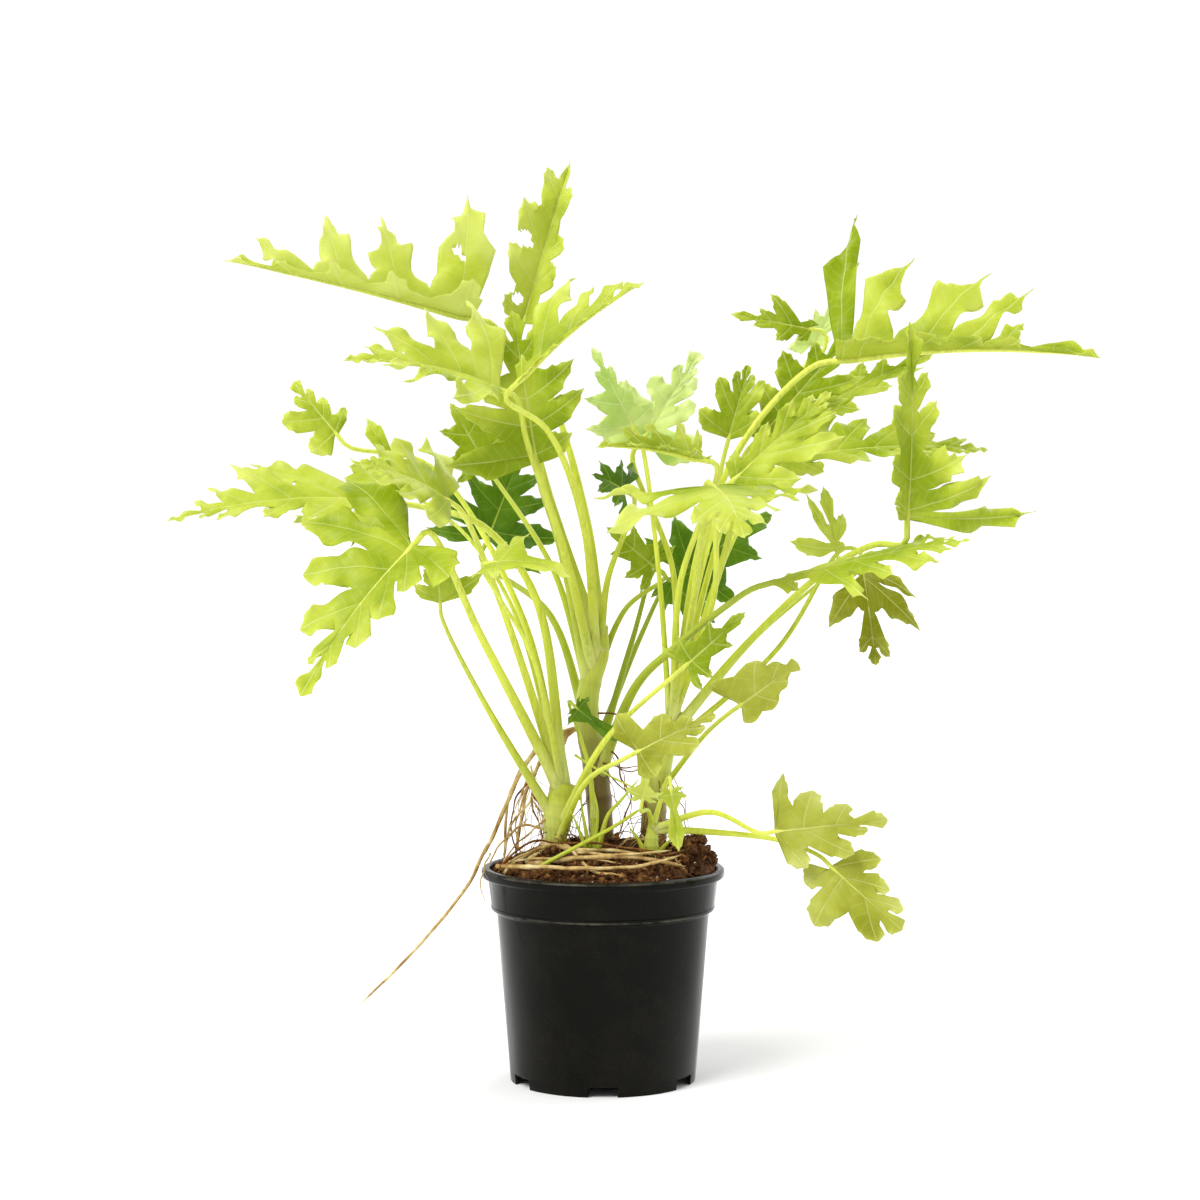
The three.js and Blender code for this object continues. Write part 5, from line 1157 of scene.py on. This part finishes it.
# A lobe's half width along its vein over its fullest. It fills out as a sine, then closes as a
# power of one minus a power of the share; its forward teeth rise slowly and fall fast.
def lobeWidth(share, kind, seed, turn):
    k = lobeKinds[kind]
    body = (k["neck"] + (1 - k["neck"]) * np.sin(0.5 * math.pi * np.clip(share / k["full"], 0, 1)))
    body = body * np.clip(1 - share ** k["hold"], 0, 1) ** k["close"]
    teeth = np.zeros_like(share)
    for number, (foot, peak, end, size) in enumerate(k["teeth"]):
        shift = lobeSpread["toothPlace"] * wobble(seed, turn + 31 + number)
        grow = np.clip((share - foot - shift) / (peak - foot), 0, 1) ** 1.5
        fall = 1 - smoothStep(share, peak + shift, end + shift)
        size = size * (1 + lobeSpread["toothSize"] * wobble(seed, turn + 47 + number))
        teeth += size * grow * fall
    return body * (1 + lobeSpread["width"] * wobble(seed, turn + 77)), teeth


# How wide a half lobe can be: a share of the distance to its neighbour's vein, and in front
# of the line from its own vein to the bay.
def roomFor(lobe, bay, facing, share):
    neighbour = lobe.get("next" if facing > 0 else "before")
    point = veinAt(lobe, share)
    room = np.full(len(share), np.inf)
    if neighbour:
        root = np.array([neighbour["root"], 0.0])
        ahead = np.clip((point - root) @ neighbour["line"], 0, neighbour["reach"])
        room = bladeBuild["room"] * np.linalg.norm(root + ahead[:, None] * neighbour["line"] - point, axis=1)
    toBay = bay - veinAt(lobe, lobe["bayShare"])
    ahead = toBay @ lobe["line"]
    if ahead > 0:
        past = np.maximum(share - lobe["bayShare"], 0) * lobe["reach"]
        room = np.minimum(room, bladeBuild["bayRoom"] * past * facing * (toBay @ lobe["front"]) / ahead)
    return room


# Half a lobe's vein and edge. Up to the bay the edge is a straight line; beyond it, it leaves the
# bay along the vein and swings out to the lobe's width.
def lobeEdges(lobe, facing, seed, turn):
    b = bladeBuild
    end = "front" if facing > 0 else "rear"
    bay, foot, bayShare = lobe[end + "Bay"], np.array([lobe[end + "Foot"], 0.0]), lobe["bayShare"]
    low = np.linspace(0, 1, b["innerRows"]) ** b["innerPack"] * bayShare
    high = bayShare + (1 - bayShare) * np.linspace(0, 1, b["outerRows"])[1:] ** b["outerPack"]
    share = np.concatenate([low, high])
    past = np.clip((share - bayShare) / (1 - bayShare), 0, 1)
    inner = veinAt(lobe, share)
    towardBay = foot + (bay - foot) * np.clip(share / bayShare, 0, 1)[:, None]
    body, teeth = lobeWidth(share, lobe["kind"], seed, turn)
    room = roomFor(lobe, bay, facing, share)
    smooth = np.minimum(lobe["half"] * body, room)
    width = np.minimum(lobe["half"] * (body + teeth), room)
    full = inner + lobe["front"] * (facing * width)[:, None]
    full = full + lobe["line"] * (0.5 * (width - smooth))[:, None]
    straight = bay + lobe["line"] * ((share - bayShare) * lobe["reach"])[:, None]
    swing = smoothStep(past, 0, b["swing"])[:, None]
    outer = np.where((past > 0)[:, None], straight + (full - straight) * swing, towardBay)
    outer[-1] = inner[-1]
    return share, past, inner, outer


# Half a lobe as a grid: rows go out along its vein, columns from the vein to the edge. Its rise
# adds the lobe's lift with the square of the share, its tilt, waves at the margin, a swell
# between the veins as a sine, and a crumple that fades at the midrib.
def halfLobe(leaf, stand, seed, lobe, facing, turn):
    b = bladeBuild
    share, past, inner, outer = lobeEdges(lobe, facing, seed, turn)
    share, past = share[:, None], past[:, None]
    column = np.linspace(0, 1, b["columns"] + 1) ** b["columnPack"]
    flat = inner[:, None] + (outer - inner)[:, None] * column[None, :, None]
    gap = np.linalg.norm(outer - inner, axis=1)[:, None]
    across = gap * column
    along = np.broadcast_to(share * lobe["reach"], across.shape)
    rise = lobe["lift"] * lobe["reach"] * past**2
    rise = rise + facing * lobe["tilt"] * across * past
    wave = np.sin(2 * math.pi * (b["waveCount"] * share + wobble(seed, turn + 61)))
    rise = rise + b["marginWave"] * lobe["reach"] * (past * (1 - past) * 4) * column**2 * wave
    swell = np.sin(math.pi * column**0.8) * np.clip(share / b["quiltStart"], 0, 1) * (1 - share**2)
    rise = rise + b["quilt"] * gap * swell
    rise = np.where(column > 0, rise, rise[:, :1])
    level = np.concatenate([flat, np.zeros_like(flat[..., :1])], -1)  # alike on both sides of a weld
    fade = np.tanh(np.abs(flat[..., 1]) / b["crumpleSize"])
    rise = rise + b["crumple"] * stand["length"] * fade * softNoise(level, b["crumpleSize"], seed)
    points = placed(leaf, stand, seed, flat[..., 0], flat[..., 1], rise)
    # how far the veins stand out below, how thin the rim is, and what the material reads
    left = 1 - np.clip(flat[..., 0] / stand["length"], 0, 1)
    midrib = 0.0 if lobe["isTip"] else b["midribDepth"] * left * np.exp(-((along / b["midribReach"]) ** 2))
    vein = b["veinDepth"] * (1 - share) * np.exp(-((across / b["veinReach"]) ** 2))
    rim = np.where(past > 0, smoothStep(column, b["rimStart"], 1.0), 0.0)
    mapStart = b["tipStart"] if lobe["isTip"] else 0.0
    return {
        "points": points.reshape(-1, 3),
        "quads": gridQuads(*across.shape, closed=False)[:, [0, 3, 2, 1]],
        "depth": np.maximum(midrib, vein).ravel(),
        "thick": (b["halfThickness"] + (b["rimThickness"] - b["halfThickness"]) * rim).ravel(),
        "margin": np.clip(column**1.5 * past + b["paleEnd"] * past, 0, 1).ravel(),
        "uv": (np.stack([along + mapStart, across], -1) / bladeDetail["mapUnit"]).reshape(-1, 2),
    }


# All the half lobes of a blade, joined into one set of arrays.
def halfLobes(leaf, seed):
    stand = bladeFrame(leaf)
    parts = []
    count = 0
    for side in (1, -1):
        for i, lobe in enumerate(lobesOf(leaf, stand["length"], seed, side)):
            for facing in ((-1,) if lobe["isTip"] else (-1, 1)):
                part = halfLobe(leaf, stand, seed, lobe, facing, 20 * i + 3 * side + facing)
                part["quads"] = (part["quads"] if side * facing < 0 else part["quads"][:, ::-1]) + count
                part["tone"] = np.full(len(part["points"]), leaf["lobeShading"].get((side, i), 0.0))
                count += len(part["points"])
                parts.append(part)
    return {key: np.concatenate([part[key] for part in parts]) for key in parts[0]}


# A sheet of triangles made solid: its points go up by one distance and down by another along the
# mean of its faces' normals, and every edge with no neighbour gets a wall.
def thickened(points, sheet, sheetUv, above, below):
    a, b, c = (points[sheet[:, k]] for k in range(3))
    area = np.cross(b - a, c - a)
    normal = np.zeros_like(points)
    for k in range(3):
        np.add.at(normal, sheet[:, k], area)
    normal = normal / np.maximum(np.linalg.norm(normal, axis=1, keepdims=True), 1e-9)
    solid = np.concatenate([points + normal * above[:, None], points - normal * below[:, None]])
    count = len(points)
    edges = np.concatenate([sheet[:, [k, (k + 1) % 3]] for k in range(3)]).astype(np.int64)
    edgeUv = np.concatenate([sheetUv[:, [k, (k + 1) % 3]] for k in range(3)])
    rim = ~np.isin(edges @ [count, 1], edges @ [1, count])  # the edge's code and its neighbour's
    p, q = edges[rim].T
    wall = np.stack([p, p + count, q + count, q], 1)
    cornerUv = [sheetUv, sheetUv[:, [0, 2, 1]], edgeUv[rim][:, [0, 0, 1, 1]]]
    cornerUv = np.concatenate([uv.reshape(-1, 2) for uv in cornerUv])
    return solid, [sheet, sheet[:, [0, 2, 1]] + count, wall], cornerUv


# The whole blade: half lobes welded where their points agree, without the faces that a hole
# takes away, made solid with the veins standing out below.
def makeBlade(name, leaf, seed):
    b = bladeBuild
    half = halfLobes(leaf, seed)
    rounded = np.round(half["points"], 4) + 0.0
    points, first, owner = np.unique(rounded, axis=0, return_index=True, return_inverse=True)
    corners = np.concatenate([half["quads"][:, [0, 1, 2]], half["quads"][:, [0, 2, 3]]])
    sheet, sheetUv = owner.reshape(-1)[corners], half["uv"][corners]
    kept = (sheet != np.roll(sheet, 1, axis=1)).all(1)
    for middle, reach in leaf["holes"]:
        kept &= np.linalg.norm(points[sheet].mean(1)[:, [0, 2]] - np.array(middle), axis=1) > reach
    depth, thick, margin, tone = (half[key][first] for key in ("depth", "thick", "margin", "tone"))
    # Painted light and shade of the lobe and the blade, with a base level and a random spread.
    tone = tone + leaf["tone"] + b["tone"] + b["toneSpread"] * wobble(seed, 7)
    solid, faces, cornerUv = thickened(points, sheet[kept], sheetUv[kept], thick, thick + depth)
    values = {"margin": np.tile(margin, 2), "tone": np.tile(tone, 2)}
    makePiece(pieceName(name), solid, faces, finishes[leaf["finish"]], [name], cornerUv, values)


# The node's name in camel case, with Piece at its end.
def pieceName(node):
    words = node.split("_")
    return words[0] + "".join(word.capitalize() for word in words[1:]) + "Piece"


# steps, sides: stations, and points of a ring. A petiole meets its blade along a neck of some
# radii, and thins by a power. Its rib sinks into the blade and tapers over the last share of it.
# A stem has fine rings, and its bark fades out over barkFade millimetres. sheath: how much wider
# a petiole is where it clasps the stem.
stemBuild = {
    "sides": 14, "steps": 46, "neck": 7, "thinning": 1.6,
    "ribSteps": 22, "ribShare": (0.01, 0.94), "ribThinning": 0.8, "ribLeast": 0.25, "ribTaper": (0.22, 0.25),
    "ribSink": 0.75, "ribStart": 0.08,
    "stemSides": 28, "stemSteps": 60, "stemInset": 0.2, "stemRise": 0.2, "stemShade": 0.15,
    "ringCount": 9, "ringSharpness": 8, "ringDepth": 0.5,
    "barkFade": 55, "barkAge": 0.85, "ringAge": 0.12, "sheath": 0.25, "sheathReach": 0.08,
    # green, greenSpread: the painted shade of a petiole with none listed, and its random spread; greenStart:
    # how far up it comes to full. stemShade: the painted shade on a stem.
    "green": 0.18, "greenSpread": 0.18, "greenStart": 0.3,
}


# A petiole: from its crown through its via points to the blade, then on under the blade as
# its midrib, thinning with the distance to a power.
def petiolePath(leaf, foot):
    b = stemBuild
    stand = bladeFrame(leaf)
    thin = leaf["thick"][1]
    neck, _, _ = midribAt(stand, np.array([-b["neck"] * thin, 0.0]) - bladeBuild["petioleGap"])
    path = smoothPath([foot, *leaf["via"], *neck], b["steps"])
    share = np.linspace(0, 1, len(path))
    radius = thin + (leaf["thick"][0] * crowns[leaf["stem"]]["feet"] - thin) * (1 - share) ** b["thinning"]
    under = np.linspace(*b["ribShare"], b["ribSteps"]) * stand["length"]
    rib, _, normal = midribAt(stand, under)
    left = 1 - under / stand["length"]
    ribRadius = thin * left ** b["ribThinning"] + b["ribLeast"]
    ribRadius = ribRadius * np.clip(left / b["ribTaper"][0], b["ribTaper"][1], 1)
    sink = ribRadius * b["ribSink"] * smoothStep(under / stand["length"], 0, b["ribStart"])
    rib = rib - normal * sink[:, None]
    rise = np.concatenate([share, np.ones(b["ribSteps"])])
    return np.concatenate([path, rib]), np.concatenate([radius, ribRadius]), rise


# A stem with the petioles that start on it. Their "rise" is the share of the way up, "age" how
# corky they are, and "depth" how much painted shade, a deeper green, they carry. For a petiole it
# grows from the foot. Listed shares are for petioles deep among the others, the rest get a low
# level with a random spread, and a stem gets a fixed one.
def makeCrown(name):
    crown, b = crowns[name], stemBuild
    axis = smoothPath(crown["axis"], b["stemSteps"])
    share = np.linspace(0, 1, b["stemSteps"])
    rings = (0.5 + 0.5 * np.cos(2 * math.pi * share * b["ringCount"])) ** b["ringSharpness"]
    knots = np.linspace(0, 1, len(crown["radii"]))
    radius = np.interp(share, knots, crown["radii"]) + b["ringDepth"] * rings - b["stemInset"]
    low = np.clip((crown["bark"] - axis[:, 2]) / b["barkFade"], 0, 1)
    age = np.clip(b["barkAge"] * low + b["ringAge"] * rings, 0, 1)
    values = {"rise": share * b["stemRise"], "age": age, "depth": b["stemShade"]}
    parts = [tube(axis, radius, b["stemSides"], values)]
    coarse = smoothPath(crown["axis"], 200)
    for entry in leaves.values():
        leaf = {**common, **entry}
        if leaf["stem"] == name:
            path, thickness, rise = petiolePath(leaf, coarse[int(round(leaf["from"] * 199))])
            sheath = 1 + b["sheath"] * np.exp(-((rise / b["sheathReach"]) ** 2))
            green = leaf.get("green", b["green"] + b["greenSpread"] * wobble(len(parts), 3))
            values = {"rise": rise, "age": 0.0, "depth": green * smoothStep(rise, 0.0, b["greenStart"])}
            parts.append(tube(path, thickness * sheath, b["sides"], values))
    points, faces, values = stacked(parts)
    makePiece(pieceName(name), points, faces, finishes["petiole"], [name], pointValues=values)


for crownName in crowns:
    makeCrown(crownName)
print("crowns and petioles made")
for index, (leafName, entry) in enumerate(leaves.items()):
    makeBlade(leafName, {**common, **entry}, index + 1)
print("blades made")

# Roots

# The collar round the left crown from which the mat of roots starts.
collar = {
    "axis": [[-42, 0, 194], [-42, 0, 201], [-41, 0, 206]], "radii": [12, 13.5, 11], "steps": 12, "sides": 20,
}
# Each strand is its points and its radii at both ends. A point with no height lies on the soil.
roots = {
    "root_mat": [
        ([[-42, -6], [-64, -36], [-20, -60], [30, -58], [70, -46]], (2.6, 1.6)),
        ([[-42, -8], [-22, -40], [12, -44], [34, -48]], (2.2, 1.4)),
        ([[-46, 0], [-66, -14], [-80, -34], [-84, -42]], (2, 1.3)),
        ([[-42, 4], [-62, 26], [-70, 52], [-60, 70]], (2.2, 1.3)),
        ([[-36, -6], [-30, -28], [-6, -76], [14, -84]], (1.8, 1.2)),
    ],
    "root_aerial": [
        ([[-12, 42, 302], [-40, 40, 294], [-66, 32, 272], [-92, 12, 216], [-106, -4, 190], [-116, -12, 170],
          [-158, -22, 118], [-212, -30, 65]], (2.4, 0.9)),
        ([[-24, 41, 299], [-46, 44, 282], [-66, 52, 246], [-78, 60, 184]], (2.2, 1.4)),
        ([[-30, 41, 297], [-42, 49, 268], [-48, 56, 232], [-50, 60, 186]], (2, 1.3)),
        ([[-38, 40, 294], [-60, 48, 280], [-82, 40, 240], [-86, 34, 186]], (1.8, 1.2)),
    ],
}
# lift: how far a strand lies above the soil, clear of its crumbs. lumpSize: the length of its
# swellings. taper, point: how fast it thins at its end, and the least share that is left.
strandShape = {"lift": 1.5, "flatter": (1.0, 1.0, 0.5), "lumpSize": 3.0, "taper": 18, "point": 0.15}
# wander, sway: how far a strand strays and over what length. lumps: how uneven its thickness is.
rootBuild = {"sides": 9, "steps": 70, "wander": 1.1, "sway": 9.0, "lumps": 0.16}
looseBuild = {"sides": 7, "steps": 44, "wander": 1.6, "sway": 7.0, "lumps": 0.2}
wiryBuild = {"sides": 5, "steps": 30, "wander": 2.6, "sway": 6.0, "lumps": 0.2}
shootBuild = {"sides": 9, "steps": 24, "wander": 0.5, "sway": 9.0, "lumps": 0.06}


# One strand: its path wanders by soft noise that fades out at both ends, and its thickness
# swells and narrows by the same kind of noise.
def strand(through, thick, seed, build):
    s = strandShape
    lift = thick[0] + s["lift"]
    points = [p if len(p) > 2 else (*p, float(soilTop(*p)) + lift) for p in through]
    path = smoothPath(points, build["steps"])
    share = np.linspace(0, 1, len(path))
    fade = np.sin(math.pi * share)[:, None]
    sway = np.stack([softNoise(path, build["sway"], seed + k) for k in range(3)], 1)
    path = path + sway * build["wander"] * fade * np.array(s["flatter"])
    radius = thick[0] + (thick[1] - thick[0]) * share
    radius = radius * (1 + build["lumps"] * softNoise(path, s["lumpSize"], seed + 9))
    radius = radius * np.clip((1 - share) * s["taper"], s["point"], 1)
    return tube(path, radius, build["sides"])


# The two groups of roots that the solids have, with the collar as one more part of the mat.
def makeRoots():
    for number, (name, strands) in enumerate(roots.items()):
        parts = [strand(through, thick, 40 * number + 7 * k, rootBuild)
                 for k, (through, thick) in enumerate(strands)]
        if name == "root_mat":
            axis = smoothPath(collar["axis"], collar["steps"])
            radius = np.interp(np.linspace(0, 1, collar["steps"]), [0, 0.5, 1], collar["radii"])
            parts.append(tube(axis, radius, collar["sides"]))
        points, faces, _ = stacked(parts)
        makePiece(pieceName(name), points, faces, finishes["aerialRoot"], [name])


# The loose strands that the photograph shows: pale ones across the front, brown ones between
# the crowns, and arcs to the left of the left crown. Each is its points and its two radii.
looseRoots = {
    "paleStrands": {"finish": "aerialRoot", "strands": [
        ([[-90, -44, 190], [-71, -62, 192], [-49, -72, 193], [-23, -77, 193], [4, -78, 193], [26, -76, 194],
          [47, -68, 197], [66, -54, 201]], (1.9, 1.3)),
        ([[-49, -6, 226], [-64, -14, 213], [-78, -26, 202], [-86, -36, 190]], (1.1, 0.7)),
        ([[-51, 0, 216], [-68, 4, 219], [-81, 2, 211], [-92, -8, 198], [-98, -20, 188]], (1.2, 0.7)),
        ([[-63, 22, 269], [-60, 20, 253], [-65, 14, 237], [-79, 8, 219], [-86, 0, 190]], (1.1, 0.8)),
        ([[-60, 22, 262], [-70, 20, 240], [-76, 16, 214], [-70, 10, 188]], (0.9, 0.6)),
        ([[-30, -30, 200], [-10, -52, 202], [12, -60, 202], [37, -58, 203], [58, -48, 204]], (1.5, 1.0)),
        ([[-80, -30, 192], [-60, -46, 196], [-36, -56, 198], [-8, -60, 198], [16, -66, 195]], (1.2, 0.8)),
        ([[-38, -10, 204], [-52, -30, 204], [-72, -48, 198], [-86, -52, 190]], (1.3, 0.8)),
        ([[-97, -8, 196], [-101, -24, 188], [-104, -36, 176], [-100, -44, 158]], (0.8, 0.4)),
    ]},
    "brownStrands": {"finish": "woodyRoot", "strands": [
        ([[-87, -50, 190], [-75, -38, 201], [-56, -20, 209], [-40, -14, 206], [-15, -22, 207]], (1.1, 0.8)),
        ([[-62, 12, 245], [-51, 4, 232], [-47, -2, 217]], (0.8, 0.6)),
        ([[-60, 20, 253], [-61, 16, 237], [-55, 8, 218], [-51, 4, 203]], (0.9, 0.6)),
        ([[-65, 26, 255], [-77, 24, 236], [-79, 20, 211], [-73, 14, 188]], (0.9, 0.6)),
        ([[-4, 28, 314], [10, 16, 314], [22, 13, 309], [30, 14, 296]], (1.0, 0.6)),
        ([[15, 24, 292], [26, 10, 285], [32, 8, 271], [24, 12, 264], [12, 14, 268]], (0.8, 0.5)),
        ([[-2, 28, 271], [18, 12, 268], [32, 8, 270]], (0.8, 0.5)),
        ([[2, 28, 285], [13, 14, 276], [15, 8, 260], [24, 4, 244], [18, 0, 224], [10, -4, 204]], (0.9, 0.6)),
        ([[4, 30, 262], [16, 20, 250], [34, 4, 240], [38, 0, 222], [28, -6, 204]], (0.8, 0.5)),
        ([[-20, 30, 240], [-30, 20, 228], [-28, 6, 214], [-18, -8, 204]], (0.8, 0.5)),
        ([[20, -20, 202], [36, -46, 203], [52, -56, 201], [70, -44, 204]], (1.2, 0.7)),
        ([[-30, -18, 206], [-6, -34, 208], [18, -44, 206], [44, -52, 204]], (1.1, 0.7)),
    ]},
}
wiryRoots = {
    "count": 90, "seed": 23, "thick": (0.28, 0.62), "reach": (10, 34), "aside": 14, "arch": (0, 10),
    "within": 90,  # they end inside the pot
    # for each crown: its place, the least and the greatest height at which they leave it, its girth
    "around": [[-42, 0, 196, 222, 9], [-4, 42, 196, 300, 12], [46, 14, 196, 285, 12], [41, -30, 194, 215, 7],
               [-62, 20, 215, 262, 5]],
}


# The listed strands, stacked into one piece for each colour.
def makeLooseRoots():
    for number, (name, entry) in enumerate(looseRoots.items()):
        parts = [strand(through, thick, 300 + 50 * number + 3 * k, looseBuild)
                 for k, (through, thick) in enumerate(entry["strands"])]
        points, faces, _ = stacked(parts)
        makePiece(name, points, faces, finishes[entry["finish"]])


# Fine roots: each leaves the side of a crown and goes out and down in an arc to the soil.
def makeWiryRoots():
    w = wiryRoots
    rng = np.random.default_rng(w["seed"])
    bundles = {"fineRootsPale": [], "fineRootsDark": []}
    for k in range(w["count"]):
        x, y, low, high, girth = w["around"][k % len(w["around"])]
        turn = rng.uniform(0, 2 * math.pi)
        out = np.array([math.cos(turn), math.sin(turn)])
        reach = rng.uniform(*w["reach"])
        top = rng.uniform(low, high)
        start = np.array([x, y]) + out * girth * 0.7
        aside = np.array([-out[1], out[0]]) * rng.uniform(-w["aside"], w["aside"])
        middle = start + out * reach * 0.6 + aside * 0.5
        end = start + out * reach + aside
        end = end * min(1.0, w["within"] / max(np.hypot(*end), 1))
        foot = float(soilTop(end[0], end[1]))
        halfway = top * 0.55 + foot * 0.45 + rng.uniform(*w["arch"])
        through = [[*start, top], [*middle, halfway], [*end, foot + 0.5]]
        thick = rng.uniform(*w["thick"])
        bundle = bundles["fineRootsDark" if k % 5 < 3 else "fineRootsPale"]
        bundle.append(strand(through, (thick, thick * 0.6), 500 + 4 * k, wiryBuild))
    for name, finish in (("fineRootsPale", "aerialRoot"), ("fineRootsDark", "woodyRoot")):
        points, faces, _ = stacked(bundles[name])
        makePiece(name, points, faces, finishes[finish])


# Young shoots and dead stubs between the crowns: slender spears that end in a point.
youngShoots = [
    ([[-10, -26, 196], [-17, -30, 231], [-19, -34, 255]], (2.6, 0.5)),
    ([[-8, -24, 196], [-5, -26, 233], [-9, -28, 257]], (2.4, 0.5)),
    ([[-5, -26, 198], [4, -32, 231], [18, -34, 248], [31, -36, 264]], (2.8, 0.6)),
    ([[-13, -28, 198], [-23, -38, 227], [-28, -42, 238]], (2.2, 0.5)),
    ([[-54, -58, 191], [-33, -58, 203], [-15, -54, 212], [4, -48, 221], [18, -42, 229], [32, -36, 238]],
     (1.9, 1.4)),
    ([[-24, -18, 282], [-9, -26, 273], [12, -32, 262], [33, -36, 253]], (1.2, 0.7)),
    ([[36, -36, 198], [30, -40, 212], [22, -46, 224]], (2.6, 0.6)),
    ([[46, -34, 198], [54, -44, 210], [60, -52, 216]], (2.4, 0.6)),
]


# Each shoot is a strand in the petioles' own finish, with the same share of painted shade all along.
def makeShoots():
    parts = []
    for number, (through, thick) in enumerate(youngShoots):
        points, quads, caps, _ = strand(through, thick, 900 + 5 * number, shootBuild)
        share = np.full(len(points), 0.3)
        parts.append((points, quads, caps, {"rise": share, "age": share * 0, "depth": share}))
    points, faces, values = stacked(parts)
    makePiece("youngShoots", points, faces, finishes["petiole"], pointValues=values)


makeRoots()
makeLooseRoots()
makeWiryRoots()
makeShoots()
print("roots and shoots made")
